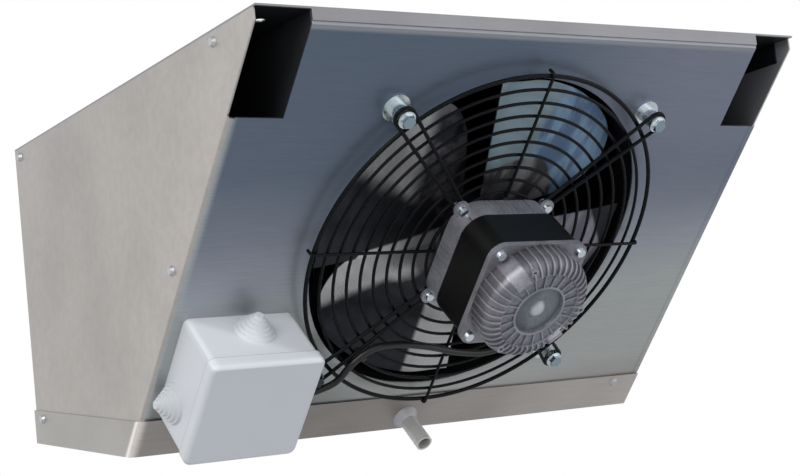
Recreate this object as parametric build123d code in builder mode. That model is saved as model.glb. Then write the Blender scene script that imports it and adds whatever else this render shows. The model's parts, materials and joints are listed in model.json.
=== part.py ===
# Ceiling-hung evaporator unit of a refrigeration split system.
# Units are millimetres. Z is up, the sloped fan front faces -Y, and the origin is the centre of
# the ceiling bolt pattern, on the top face of the unit, so the unit hangs below Z = 0.
import os
from math import atan2, cos, degrees, hypot, radians, sin, sqrt, tan

from build123d import *

# Fan opening and bellmouth. The casing and the guard take their sizes from the fan hole.
FAN_HOLE_R = 156.0
RING_WALL = 1.8
RING_DEPTH = 34.0
RING_FLANGE_WIDTH = 15.0
RING_FLARE = 7.0

# Casing, driving sizes: what it adds to the fan hole, its slope and its folds
COMPARTMENT_ROOM = 296.0
ROOM_ABOVE_FAN = 36.5
TRAY_ROOM = 100.24
SLOPE_ANGLE = 45.645
BOTTOM_DEPTH = 208.0
BAND = 12.6
SHEET = 1.5
BEND_RADIUS = 4.0
LIP_HEIGHT = 10.0
TOP_FLANGE = 18.0
REAR_FLANGE = 22.0

# Corner notches that give access to the front ceiling bolts
NOTCH_WIDTH = 45.0
NOTCH_LENGTH = 78.0
RELIEF_LENGTH = 6.0
RELIEF_WIDTH = 1.6

# Ceiling bolts
HANG_INSET_X = 22.0
HANG_INSET_Y = 34.5
HANG_HOLE_R = 4.5

# Drip tray
TRAY_WALL = 30.6
TRAY_FALL = 23.3
TRAY_SHEET = 1.5
WRAP_ABOVE_FLOOR = 16.0
SPIGOT_X = -3.0
SPIGOT_R = 7.5
SPIGOT_BORE_R = 6.0
SPIGOT_LENGTH = 36.0
SPIGOT_UP_WALL = 14.5
DRAIN_BOSS_R = 12.0
DRAIN_BOSS_HEIGHT = 7.0

# Guard and arms
GUARD_LEVEL = 12.0
GUARD_OVERLAP = 8.5
GUARD_IN_R = 55.2
GUARD_RING_COUNT = 10
GUARD_WIRE = 2.7
GUARD_RIM_WIRE = 3.6
ARM_WIRE = 3.2
ARM_GAP = 17.0
BOLT_PAST_GUARD = 13.7
BOLT_R = 3.0
BOLT_HOLE_R = 3.4
SPACER_R = 7.2
WASHER_R = 12.0
WASHER_THICK = 1.6
BOLT_HEAD_R = 7.4
BOLT_HEAD_HEIGHT = 6.5

# Motor
MOTOR_HALF = 48.5
MOTOR_CORNER = 20.0
LUG_THICK = 2.6
LUG_R = 7.0
MOTOR_CLEARANCE = 0.65
STATOR_LEVEL = 34.0
STATOR_LENGTH = 38.0
FRONT_FLANGE = 5.0
FRONT_DOME_R = 47.8
FRONT_DOME_HEIGHT = 29.0
FRONT_SHOULDER = 11.0
RIB_COUNT = 44
RIB_THICK = 1.4
RIB_PROUD = 1.7
MOTOR_SCREW_SPACING = 80.0
MOTOR_SCREW_R = 2.2
ARM_SCREW_SPACING = 86.7
ARM_SCREW_R = 2.0
ROTOR_R = 22.0
AIR_GAP = 0.5
SHAFT_R = 4.0
SHAFT_CLEARANCE = 0.05
BUSH_R = 8.0
BUSH_LENGTH = 9.0
WINDING_IN_R = 26.0
WINDING_OUT_R = 37.0
WINDING_OVERHANG = 7.0
WINDING_CLEARANCE = 0.3
RECESS_R = 21.5
RECESS_DEPTH = 3.5

# Impeller
BLADE_COUNT = 4
TIP_CLEARANCE = 6.0
BLADE_ROOT_R = 33.0
BLADE_LEAD_ANGLE = 101.0
BLADE_SPAN_ANGLE = 84.0
BLADE_CORNER_R = 75.0
BLADE_THICK = 1.2
BLADE_FRONT_LEVEL = -7.0
BLADE_BACK_LEVEL = -28.0
HUB_DEPTH = 20.0
HUB_BORE_R = 4.0

# Coil
SIDE_ROOM = 48.0
COIL_DEPTH = 80.0
COIL_BACK_INSET = 6.0
COIL_TOP_GAP = 12.0
COIL_DRAIN_ROOM = 50.0
FIN_PITCH = 7.0
FIN_THICK = 1.0
FIN_PROUD = 10.0
PLATE_THICK = 1.5
TUBE_R = 6.0
TUBE_CLEARANCE = 0.1
TUBE_ROWS = 6
TUBE_COLUMNS = 2
TUBE_END_ROOM = 22.0
TUBE_PITCH_Y = 32.0
TUBE_OVERHANG = 8.0
PIPE_STUB = 26.0

# Junction box
BOX_SIZE = 100.0
BOX_HEIGHT = 62.0
LID_HEIGHT = 12.0
LID_OVERHANG = 1.5
BOX_WALL = 2.2
BOX_CORNER = 7.0
BOX_SIDE_INSET = 10.0
BOX_ABOVE_FOOT = 43.44
GROMMET_R = 17.0
GROMMET_TIP_R = 3.4
GROMMET_HEIGHT = 16.0
GROMMET_LEVEL = 20.0
GROMMET_STEPS = 6
LID_CLEARANCE = 0.35
TERMINAL_COUNT = 5
TERMINAL_PITCH = 11.0

# Small screws
SCREW_R = 2.0
SCREW_HOLE_R = 2.1
SCREW_HEAD_R = 4.4
SCREW_HEAD_HEIGHT = 2.6
SCREW_LENGTH = 7.0

# Motor lead and pipes
CABLE_R = 3.0
CABLE_LEVEL = 24.0
GLAND_UP = -20.0
GLAND_R = 5.5
GLAND_LENGTH = 5.0
GLAND_SEAT_R = 6.0
SUCTION_R = 8.0
LIQUID_R = 7.2
PIPE_BORE_R = TUBE_R + TUBE_CLEARANCE
GROMMET_WALL = 3.0
BEAD_PLACE = 4.8
BEAD_WIDTH = 2.0
BEAD_PROUD = 1.2

# Casing, worked out round the fan hole: 530 wide, 489 deep at the top and 300 high as built
WIDTH = 1.5 * FAN_HOLE_R + COMPARTMENT_ROOM
FAN_DOWN_SLOPE = FAN_HOLE_R + ROOM_ABOVE_FAN
SLOPE_LENGTH = FAN_DOWN_SLOPE + 0.7 * FAN_HOLE_R + TRAY_ROOM
SLOPE_RUN = SLOPE_LENGTH * cos(radians(SLOPE_ANGLE))
SLOPE_DROP = SLOPE_LENGTH * sin(radians(SLOPE_ANGLE))
TOP_DEPTH = BOTTOM_DEPTH + SLOPE_RUN
HEIGHT = BAND + SLOPE_DROP
HALF = WIDTH / 2
BACK = TOP_DEPTH / 2
FRONT = -TOP_DEPTH / 2
FOOT_Y = BACK - BOTTOM_DEPTH
DOWN_SLOPE = Vector(0, SLOPE_RUN / SLOPE_LENGTH, -SLOPE_DROP / SLOPE_LENGTH)
OUTWARD = Vector(0, -SLOPE_DROP / SLOPE_LENGTH, -SLOPE_RUN / SLOPE_LENGTH)
KINK = Vector(0, FRONT, -BAND)
FAN_CENTRE = KINK + DOWN_SLOPE * FAN_DOWN_SLOPE
SLOPE_FOOT_UP = FAN_DOWN_SLOPE - SLOPE_LENGTH
NOTCH_EDGE = HALF - NOTCH_WIDTH
TRAY_TILT = TRAY_FALL / BOTTOM_DEPTH
HANG_SPACING_X = WIDTH - 2 * HANG_INSET_X
HANG_SPACING_Y = TOP_DEPTH - 2 * HANG_INSET_Y

# Fan, guard, coil and box, worked out from the same sizes
GUARD_RING_R = FAN_HOLE_R + GUARD_OVERLAP
GUARD_RING_PITCH = (GUARD_RING_R - GUARD_IN_R) / (GUARD_RING_COUNT - 1)
BOLT_CIRCLE_R = GUARD_RING_R + BOLT_PAST_GUARD
BOLT_PLACE = BOLT_CIRCLE_R / sqrt(2)
BOLT_SPACING = 2 * BOLT_PLACE
BLADE_TIP_R = FAN_HOLE_R - TIP_CLEARANCE
REAR_SHIELD_LEVEL = GUARD_LEVEL + GUARD_WIRE / 2 + MOTOR_CLEARANCE
COIL_WIDTH = WIDTH - 2 * SIDE_ROOM
COIL_HEIGHT = HEIGHT - COIL_TOP_GAP - COIL_DRAIN_ROOM
TUBE_PITCH_Z = (COIL_HEIGHT - TUBE_END_ROOM) / TUBE_ROWS
BOX_X = -HALF + BOX_SIDE_INSET + BOX_SIZE / 2
BOX_UP_SLOPE = SLOPE_FOOT_UP + BOX_ABOVE_FOOT + BOX_SIZE / 2


def panel_plane(height=0.0, x=0.0, up=0.0):
    """Plane of the sloped front: X to the right, Y up the slope, Z outward, at the fan's axis."""
    origin = FAN_CENTRE + Vector(x, 0, 0) - DOWN_SLOPE * up + OUTWARD * height
    return Plane(origin=origin, x_dir=(1, 0, 0), z_dir=OUTWARD)


def slope_y(z, inset=0.0):
    """Y on the sloped front at a height, on a surface that lies inset behind the outer one."""
    return FRONT + (-BAND - z) * SLOPE_RUN / SLOPE_DROP + inset * SLOPE_LENGTH / SLOPE_DROP


def tray_line(y, lift=0.0):
    """Height of the tilted tray's underside at a depth, raised by lift."""
    return -HEIGHT + (y - FOOT_Y) * TRAY_TILT + lift


def slope_crossing(lift, inset):
    """Point where a line parallel to the tray's floor meets the sloped front."""
    low = -HEIGHT
    high = -BAND
    for _ in range(60):
        mid = (low + high) / 2
        if mid < tray_line(slope_y(mid, inset), lift):
            low = mid
        else:
            high = mid
    return (slope_y(low, inset), low)


def side_profile(lift, inset, top, back):
    """Outline of the casing seen from the side, as points in Y and Z."""
    front = FRONT + inset
    kink = -BAND + inset * (SLOPE_LENGTH - SLOPE_DROP) / SLOPE_RUN
    foot = slope_crossing(lift, inset)
    return [(back, top), (front, top), (front, kink), foot, (back, tray_line(back, lift))]


def radial_plane(angle, height=0.0):
    """Plane through the fan's axis: X away from the axis at an angle, Y along the axis."""
    base = panel_plane(height)
    ahead = base.x_dir * cos(radians(angle)) + base.y_dir * sin(radians(angle))
    return Plane(origin=base.origin, x_dir=ahead, z_dir=ahead.cross(OUTWARD))


def spoke_plane(angle, height=0.0):
    """Plane parallel to the sloped front: X away from the fan's axis at an angle, Z outward."""
    return Plane(origin=panel_plane(height).origin, x_dir=radial_plane(angle).x_dir, z_dir=OUTWARD)


def panel_point(x, up, height):
    """Point given by its place on the sloped front, from the fan's axis, in the unit's frame."""
    return FAN_CENTRE + Vector(x, 0, 0) - DOWN_SLOPE * up + OUTWARD * height


def wedge(width, outline, radius):
    """Solid of a side outline across a width, with its two sloped front edges rounded."""
    with BuildPart() as body:
        with BuildSketch(Plane.YZ.offset(-width / 2)):
            Polygon(*outline, align=None)
        extrude(amount=width)
        fillet(body.edges().filter_by(Axis((0, 0, 0), DOWN_SLOPE)), radius)
    return body.part


def side_sheet(x, outline, thick):
    """Flat plate of a side outline, from x towards +X."""
    with BuildPart() as body:
        with BuildSketch(Plane.YZ.offset(x)):
            Polygon(*outline, align=None)
        extrude(amount=thick)
    return body.part


def pan_screws(planes, length=SCREW_LENGTH):
    """One pan head screw on each plane, its head outward and its shank inward."""
    with BuildPart() as screws:
        for plane in planes:
            with BuildSketch(plane):
                Circle(SCREW_HEAD_R)
            extrude(amount=SCREW_HEAD_HEIGHT, taper=28)
            with BuildSketch(plane):
                Circle(SCREW_R)
            extrude(amount=-length)
    return screws


def write(piece, name):
    """Label a finished piece and write it."""
    piece.part.label = name
    export_step(piece.part, f"parts/{name}.step")


os.makedirs("parts", exist_ok=True)
FAN_AXIS = Axis(FAN_CENTRE, OUTWARD)

# Places shared by pieces that meet
WRAP_LIFT = TRAY_SHEET + WRAP_ABOVE_FLOOR
INNER_HALF = HALF - SHEET
COIL_HALF = COIL_WIDTH / 2
COIL_REAR_Y = BACK - COIL_BACK_INSET
COIL_FRONT_Y = COIL_REAR_Y - COIL_DEPTH
COIL_MID_Y = (COIL_REAR_Y + COIL_FRONT_Y) / 2
COIL_MID_Z = -COIL_TOP_GAP - COIL_HEIGHT / 2
COIL_LOW_Z = -COIL_TOP_GAP - COIL_HEIGHT
TUBE_REAR_Y = COIL_MID_Y + TUBE_PITCH_Y / 2
TUBE_FRONT_Y = COIL_MID_Y - TUBE_PITCH_Y / 2
ROW_Z = [COIL_MID_Z + (TUBE_ROWS - 1) / 2 * TUBE_PITCH_Z - i * TUBE_PITCH_Z for i in range(TUBE_ROWS)]
PIPE_X = COIL_HALF + 24.0
PIPES = {"liquid_pipe": (LIQUID_R, ROW_Z[0]), "suction_pipe": (SUCTION_R, ROW_Z[-1])}
TOP_SCREW_Z = -9.5
TOP_SCREW_FRONT_Y = FRONT + 66.0
TOP_SCREW_REAR_Y = BACK - 13.0
BRACKET_Z = -0.54 * HEIGHT
BRACKET_Y = slope_y(BRACKET_Z) + 24.9
TRAY_SCREW_Y = BACK - 19.5
TRAY_SCREW_Z = -HEIGHT + 44.5
TRAY_SCREW_X = HALF - 30.0
TRAY_SCREW_UP = SLOPE_FOOT_UP + 31.44
SPIGOT_UP = SLOPE_FOOT_UP + SPIGOT_UP_WALL
BASE_SIZE = BOX_SIZE - 2 * LID_OVERHANG
BOX_SCREW_PLACE = BOX_SIZE / 2 - 16.0

# Casing wrap: the two sides and the sloped front, folded from one sheet
wrap_outside = wedge(WIDTH, side_profile(WRAP_LIFT, 0, -SHEET, BACK), BEND_RADIUS)
wrap_inside = wedge(
    2 * INNER_HALF, side_profile(WRAP_LIFT - 1, SHEET, 0, BACK + 1), BEND_RADIUS - SHEET
)
with BuildPart() as casing_wrap:
    add(wrap_outside)
    add(wrap_inside, mode=Mode.SUBTRACT)
    for side in (-1, 1):
        # Return flange that closes the side compartment at the back and carries the coil
        with BuildSketch(Plane.XZ.offset(-BACK)):
            with BuildLine():
                Polyline(
                    (side * COIL_HALF, -SHEET),
                    (side * INNER_HALF, -SHEET),
                    (side * INNER_HALF, tray_line(BACK, WRAP_LIFT)),
                    (side * COIL_HALF, tray_line(BACK, WRAP_LIFT)),
                    close=True,
                )
            make_face()
        extrude(amount=SHEET)
        # Corner notch, with the bend relief at its lower end
        notch_mid = side * (NOTCH_EDGE + HALF + 1) / 2
        notch_top = FAN_DOWN_SLOPE + 2 * BAND
        notch_low = FAN_DOWN_SLOPE - NOTCH_LENGTH
        with BuildSketch(panel_plane(1, notch_mid, (notch_top + notch_low) / 2)):
            Rectangle(NOTCH_WIDTH + 1, notch_top - notch_low)
        extrude(amount=-SHEET - 2.5, mode=Mode.SUBTRACT)
        with BuildSketch(Plane.XY.offset(-BAND - 2)):
            with Locations((notch_mid, FRONT)):
                Rectangle(NOTCH_WIDTH + 1, 2 * SHEET + 2)
        extrude(amount=BAND + 2, mode=Mode.SUBTRACT)
        relief_mid = side * (HALF - RELIEF_LENGTH / 2)
        with BuildSketch(panel_plane(1, relief_mid, notch_low)):
            Rectangle(RELIEF_LENGTH, RELIEF_WIDTH)
        extrude(amount=-SHEET - 1, mode=Mode.SUBTRACT)
        # Side screws: two in the ceiling panel's flange, one in the baffle bracket, one in the tray
        with BuildSketch(Plane.YZ.offset(side * HALF)):
            with Locations(
                (TOP_SCREW_FRONT_Y, TOP_SCREW_Z),
                (TOP_SCREW_REAR_Y, TOP_SCREW_Z),
                (BRACKET_Y, BRACKET_Z),
                (TRAY_SCREW_Y, TRAY_SCREW_Z),
            ):
                Circle(SCREW_HOLE_R)
        extrude(amount=SHEET + 1, both=True, mode=Mode.SUBTRACT)
    with BuildSketch(panel_plane(1)):
        Circle(FAN_HOLE_R)
        with GridLocations(BOLT_SPACING, BOLT_SPACING, 2, 2):
            Circle(BOLT_HOLE_R)
        with Locations((-TRAY_SCREW_X, TRAY_SCREW_UP), (TRAY_SCREW_X, TRAY_SCREW_UP)):
            Circle(SCREW_HOLE_R)
        with Locations((BOX_X, BOX_UP_SLOPE)):
            with GridLocations(2 * BOX_SCREW_PLACE, 2 * BOX_SCREW_PLACE, 2, 2):
                Circle(SCREW_HOLE_R)
    extrude(amount=-SHEET - 2, mode=Mode.SUBTRACT)
    with BuildSketch(Plane.XZ.offset(-BACK - 1)):
        for radius, z in PIPES.values():
            with Locations((PIPE_X, z)):
                Circle(radius + GROMMET_WALL)
    extrude(amount=SHEET + 2, mode=Mode.SUBTRACT)
write(casing_wrap, "casing_wrap")

# Ceiling panel: front lip between the notches, side flanges and rear flange
with BuildPart() as top_panel:
    with BuildSketch(Plane.XY):
        with Locations((0, -SHEET / 2)):
            Rectangle(WIDTH, TOP_DEPTH + SHEET)
        with GridLocations(HANG_SPACING_X, HANG_SPACING_Y, 2, 2):
            Circle(HANG_HOLE_R, mode=Mode.SUBTRACT)
    extrude(amount=-SHEET)
    with BuildSketch(Plane.XZ.offset(-FRONT)):
        with Locations((0, -LIP_HEIGHT / 2)):
            Rectangle(2 * NOTCH_EDGE, LIP_HEIGHT)
    extrude(amount=SHEET)
    with BuildSketch(Plane.XZ.offset(-BACK)):
        with Locations((0, -REAR_FLANGE / 2)):
            Rectangle(2 * COIL_HALF - 1, REAR_FLANGE)
    extrude(amount=SHEET)
    flange_front = FRONT + TOP_FLANGE
    flange_back = BACK - SHEET
    for side in (-1, 1):
        with BuildSketch(Plane.YZ.offset(side * (INNER_HALF - SHEET / 2))):
            with Locations(((flange_front + flange_back) / 2, -SHEET - TOP_FLANGE / 2)):
                Rectangle(flange_back - flange_front, TOP_FLANGE)
            with Locations((TOP_SCREW_FRONT_Y, TOP_SCREW_Z), (TOP_SCREW_REAR_Y, TOP_SCREW_Z)):
                Circle(SCREW_HOLE_R, mode=Mode.SUBTRACT)
        extrude(amount=SHEET / 2, both=True)
write(top_panel, "top_panel")


def tray_profile(low, top, inset, back):
    """Side outline of the tray between two lines parallel to its floor."""
    return [
        (back, tray_line(back, top)),
        slope_crossing(top, inset),
        slope_crossing(low, inset),
        (back, tray_line(back, low)),
    ]


# Drip tray: a pan outside the casing's lower edge, falling towards the drain at the front
tray_outside = wedge(
    WIDTH + 2 * TRAY_SHEET,
    tray_profile(0, TRAY_WALL, -TRAY_SHEET, BACK + TRAY_SHEET),
    BEND_RADIUS + TRAY_SHEET,
)
tray_inside = wedge(WIDTH, tray_profile(TRAY_SHEET, TRAY_WALL + 1, 0, BACK), BEND_RADIUS)
with BuildPart() as drip_tray:
    add(tray_outside)
    add(tray_inside, mode=Mode.SUBTRACT)
    with BuildSketch(panel_plane(TRAY_SHEET + 1)):
        with Locations((SPIGOT_X, SPIGOT_UP)):
            Circle(SPIGOT_BORE_R)
        with Locations((-TRAY_SCREW_X, TRAY_SCREW_UP), (TRAY_SCREW_X, TRAY_SCREW_UP)):
            Circle(SCREW_HOLE_R)
    extrude(amount=-TRAY_SHEET - 1.5, mode=Mode.SUBTRACT)
    for side in (-1, 1):
        with BuildSketch(Plane.YZ.offset(side * (HALF + TRAY_SHEET / 2))):
            with Locations((TRAY_SCREW_Y, TRAY_SCREW_Z)):
                Circle(SCREW_HOLE_R)
        extrude(amount=TRAY_SHEET, both=True, mode=Mode.SUBTRACT)
write(drip_tray, "drip_tray")

# Drain spigot: open tube with its welded cone on the tray's front wall
with BuildPart() as drain_spigot:
    with BuildSketch(panel_plane(TRAY_SHEET, SPIGOT_X, SPIGOT_UP)):
        Circle(DRAIN_BOSS_R)
    extrude(amount=DRAIN_BOSS_HEIGHT, taper=degrees(atan2(DRAIN_BOSS_R - SPIGOT_R, DRAIN_BOSS_HEIGHT)))
    with BuildSketch(panel_plane(TRAY_SHEET, SPIGOT_X, SPIGOT_UP)):
        Circle(SPIGOT_R)
    extrude(amount=SPIGOT_LENGTH)
    with BuildSketch(panel_plane(TRAY_SHEET, SPIGOT_X, SPIGOT_UP)):
        Circle(SPIGOT_BORE_R)
    extrude(amount=SPIGOT_LENGTH, mode=Mode.SUBTRACT)
write(drain_spigot, "drain_spigot")

# Screws of the casing and of the tray
def face_plane(side, y, z, out=0.0):
    """Plane on a side of the casing, facing away from it."""
    return Plane(origin=(side * (HALF + out), y, z), x_dir=(0, 1, 0), z_dir=(side, 0, 0))


side_screws = pan_screws(
    [
        face_plane(side, y, z)
        for side in (-1, 1)
        for y, z in (
            (TOP_SCREW_FRONT_Y, TOP_SCREW_Z),
            (TOP_SCREW_REAR_Y, TOP_SCREW_Z),
            (BRACKET_Y, BRACKET_Z),
        )
    ]
)
write(side_screws, "side_screws")
tray_screws = pan_screws(
    [face_plane(side, TRAY_SCREW_Y, TRAY_SCREW_Z, TRAY_SHEET) for side in (-1, 1)]
    + [panel_plane(TRAY_SHEET, side * TRAY_SCREW_X, TRAY_SCREW_UP) for side in (-1, 1)]
)
write(tray_screws, "tray_screws")

# Air baffles between the fan chamber and the side compartments, and the brackets that hold them
BAFFLE_LAP = 13.0
BRACKET_WIDTH = 20.0
BRACKET_HEIGHT = 18.0
for side, name in ((-1, "air_baffle_left"), (1, "air_baffle_right")):
    low_x = min(side * COIL_HALF, side * (COIL_HALF + PLATE_THICK))
    with BuildPart() as baffle:
        add(
            side_sheet(
                low_x,
                side_profile(WRAP_LIFT, SHEET, -SHEET, COIL_FRONT_Y + BAFFLE_LAP),
                PLATE_THICK,
            )
        )
    write(baffle, name)
with BuildPart() as baffle_brackets:
    for side in (-1, 1):
        low_x = side * (COIL_HALF + PLATE_THICK)
        high_x = side * INNER_HALF
        floor_z = BRACKET_Z - BRACKET_HEIGHT / 2
        with BuildSketch(Plane.XZ.offset(-BRACKET_Y)):
            with BuildLine():
                Polyline(
                    (low_x, floor_z + BRACKET_HEIGHT),
                    (low_x, floor_z),
                    (high_x, floor_z),
                    (high_x, floor_z + BRACKET_HEIGHT),
                    (high_x - side * SHEET, floor_z + BRACKET_HEIGHT),
                    (high_x - side * SHEET, floor_z + SHEET),
                    (low_x + side * SHEET, floor_z + SHEET),
                    (low_x + side * SHEET, floor_z + BRACKET_HEIGHT),
                    close=True,
                )
            make_face()
        extrude(amount=BRACKET_WIDTH / 2, both=True)
        with BuildSketch(Plane.YZ.offset(high_x)):
            with Locations((BRACKET_Y, BRACKET_Z)):
                Circle(SCREW_HOLE_R)
        extrude(amount=2 * SHEET, both=True, mode=Mode.SUBTRACT)
write(baffle_brackets, "baffle_brackets")

# Coil: finned block between two end plates
with BuildPart() as coil_fins:
    fin_span = COIL_WIDTH - 2 * PLATE_THICK
    fin_count = int((fin_span - FIN_THICK) / FIN_PITCH) + 1
    with BuildSketch(Plane.XY.offset(COIL_LOW_Z)):
        with Locations((0, COIL_MID_Y)):
            Rectangle(fin_span, COIL_DEPTH - 2 * FIN_PROUD)
            with GridLocations(FIN_PITCH, 0, fin_count, 1):
                Rectangle(FIN_THICK, COIL_DEPTH)
    extrude(amount=COIL_HEIGHT)
    with BuildSketch(Plane.YZ.offset(-COIL_HALF)):
        with Locations((COIL_MID_Y, COIL_MID_Z)):
            with GridLocations(TUBE_PITCH_Y, TUBE_PITCH_Z, TUBE_COLUMNS, TUBE_ROWS):
                Circle(TUBE_R + TUBE_CLEARANCE)
    extrude(amount=COIL_WIDTH, mode=Mode.SUBTRACT)
write(coil_fins, "coil_fins")

END_PLATE_FLANGE = 12.0
for side, name in ((-1, "coil_end_plate_left"), (1, "coil_end_plate_right")):
    inner_x = side * (COIL_HALF - PLATE_THICK)
    with BuildPart() as end_plate:
        with BuildSketch(Plane.YZ.offset(inner_x)):
            with Locations(((COIL_FRONT_Y + BACK - SHEET) / 2, (COIL_LOW_Z - 2 - SHEET) / 2)):
                Rectangle(BACK - SHEET - COIL_FRONT_Y, -COIL_LOW_Z + 2 - SHEET)
            with Locations((COIL_MID_Y, COIL_MID_Z)):
                with GridLocations(TUBE_PITCH_Y, TUBE_PITCH_Z, TUBE_COLUMNS, TUBE_ROWS):
                    Circle(TUBE_R + TUBE_CLEARANCE, mode=Mode.SUBTRACT)
        extrude(amount=side * PLATE_THICK)
        with BuildSketch(Plane.XZ.offset(-BACK + SHEET)):
            with Locations((side * (COIL_HALF + END_PLATE_FLANGE / 2), COIL_MID_Z)):
                Rectangle(END_PLATE_FLANGE, COIL_HEIGHT - 40)
        extrude(amount=PLATE_THICK)
    write(end_plate, name)


# Hairpins: each row's two tubes with the bend at the left end; return bends join the rows
with BuildPart() as coil_tubes:
    for z in ROW_Z:
        with BuildSketch(Plane.YZ.offset(-COIL_HALF - TUBE_OVERHANG)):
            with Locations((TUBE_REAR_Y, z), (TUBE_FRONT_Y, z)):
                Circle(TUBE_R)
        extrude(amount=COIL_WIDTH + 2 * TUBE_OVERHANG)
        with BuildSketch(Plane.YZ.offset(-COIL_HALF - TUBE_OVERHANG)):
            with Locations((TUBE_REAR_Y, z)):
                Circle(TUBE_R)
        revolve(axis=Axis((-COIL_HALF - TUBE_OVERHANG, COIL_MID_Y, z), (0, 0, 1)), revolution_arc=180)
write(coil_tubes, "coil_tubes")
with BuildPart() as return_bends:
    for i in range(TUBE_ROWS - 1):
        y = TUBE_FRONT_Y if i % 2 == 0 else TUBE_REAR_Y
        mid_z = (ROW_Z[i] + ROW_Z[i + 1]) / 2
        with BuildSketch(Plane.YZ.offset(COIL_HALF + TUBE_OVERHANG)):
            with Locations((y, ROW_Z[i])):
                Circle(TUBE_R)
        revolve(axis=Axis((COIL_HALF + TUBE_OVERHANG, y, mid_z), (0, 1, 0)), revolution_arc=180)
write(return_bends, "return_bends")

# Liquid and suction pipes: a cup over the tube's end, an elbow and an open stub out of the back
for name, (radius, z) in PIPES.items():
    with BuildPart() as pipe:
        with BuildLine() as route:
            FilletPolyline(
                (COIL_HALF + 2, TUBE_REAR_Y, z),
                (PIPE_X, TUBE_REAR_Y, z),
                (PIPE_X, BACK + PIPE_STUB, z),
                radius=12,
            )
        with BuildSketch(Plane(origin=route.line @ 0, z_dir=route.line % 0)):
            Circle(radius)
            Circle(PIPE_BORE_R, mode=Mode.SUBTRACT)
        sweep(path=route.line)
        # Rolled bead that stops the coupling on the stub
        with BuildSketch(Plane.XZ.offset(-BACK - BEAD_PLACE)):
            with Locations((PIPE_X, z)):
                Circle(radius + BEAD_PROUD)
                Circle(PIPE_BORE_R, mode=Mode.SUBTRACT)
        extrude(amount=BEAD_WIDTH)
    write(pipe, name)
with BuildPart() as pipe_grommets:
    for radius, z in PIPES.values():
        with BuildSketch(Plane.XZ.offset(-BACK - 2)):
            with Locations((PIPE_X, z)):
                Circle(radius + GROMMET_WALL + 2)
                Circle(radius + 0.05, mode=Mode.SUBTRACT)
        extrude(amount=2)
        with BuildSketch(Plane.XZ.offset(-BACK)):
            with Locations((PIPE_X, z)):
                Circle(radius + GROMMET_WALL)
                Circle(radius + 0.05, mode=Mode.SUBTRACT)
        extrude(amount=SHEET + 1.5)
write(pipe_grommets, "pipe_grommets")

# Bellmouth ring behind the fan hole: mounting flange, wall in line with the hole, flared inner end
RING_IN_R = FAN_HOLE_R
RING_OUT_R = RING_IN_R + RING_WALL
with BuildPart() as fan_ring:
    with BuildSketch(radial_plane(0)):
        with BuildLine():
            Polyline(
                (RING_IN_R, -SHEET),
                (RING_OUT_R + RING_FLANGE_WIDTH, -SHEET),
                (RING_OUT_R + RING_FLANGE_WIDTH, -SHEET - RING_WALL),
                (RING_OUT_R, -SHEET - RING_WALL),
                (RING_OUT_R, -RING_DEPTH + RING_FLARE),
                (RING_OUT_R + RING_FLARE, -RING_DEPTH),
                (RING_OUT_R + RING_FLARE - RING_WALL, -RING_DEPTH - RING_WALL),
                (RING_IN_R, -RING_DEPTH + RING_FLARE - RING_WALL / 2),
                close=True,
            )
        make_face()
    revolve(axis=FAN_AXIS)
write(fan_ring, "fan_ring")

# Wire guard: concentric rings, and four radial wires whose ends hook over the rim
RADIAL_LEVEL = GUARD_LEVEL + GUARD_WIRE
RIM_LEVEL = RADIAL_LEVEL - GUARD_WIRE / 2 - GUARD_RIM_WIRE / 2
HOOK_R = GUARD_RING_R + GUARD_RIM_WIRE / 2 + GUARD_WIRE / 2 + 0.1
with BuildPart() as fan_guard:
    with BuildSketch(radial_plane(0)):
        with Locations((GUARD_RING_R, RIM_LEVEL)):
            Circle(GUARD_RIM_WIRE / 2)
        for i in range(1, GUARD_RING_COUNT):
            with Locations((GUARD_RING_R - i * GUARD_RING_PITCH, GUARD_LEVEL)):
                Circle(GUARD_WIRE / 2)
    revolve(axis=FAN_AXIS)
    for angle in (0, 90, 180, 270):
        plane = radial_plane(angle)
        with BuildLine(plane) as radial_wire:
            FilletPolyline(
                (GUARD_IN_R - 3, RADIAL_LEVEL),
                (HOOK_R, RADIAL_LEVEL),
                (HOOK_R, RIM_LEVEL - 4),
                radius=GUARD_WIRE,
            )
        with BuildSketch(Plane(origin=radial_wire.line @ 0, z_dir=radial_wire.line % 0)):
            Circle(GUARD_WIRE / 2)
        sweep(path=radial_wire.line)
write(fan_guard, "fan_guard")

# Motor arms: four wire hairpins, closed round the guard bolts and open at the motor's lugs
ARM_LEVEL = GUARD_LEVEL + GUARD_WIRE / 2 + ARM_WIRE / 2
ARM_SCREW_CIRCLE_R = ARM_SCREW_SPACING / sqrt(2)
ARM_END = ARM_SCREW_CIRCLE_R - 1.5
ARM_END_SPREAD = ARM_SCREW_R + ARM_WIRE / 2
CORNERS = (45, 135, 225, 315)
with BuildPart() as motor_arms:
    for angle in CORNERS:
        with BuildLine(spoke_plane(angle, ARM_LEVEL)) as hairpin:
            FilletPolyline(
                (ARM_END, -ARM_END_SPREAD),
                (BOLT_CIRCLE_R + ARM_GAP / 2, -ARM_GAP / 2),
                (BOLT_CIRCLE_R + ARM_GAP / 2, ARM_GAP / 2),
                (ARM_END, ARM_END_SPREAD),
                radius=ARM_GAP / 2 - 0.3,
            )
        with BuildSketch(Plane(origin=hairpin.line @ 0, z_dir=hairpin.line % 0)):
            Circle(ARM_WIRE / 2)
        sweep(path=hairpin.line)
write(motor_arms, "motor_arms")

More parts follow.
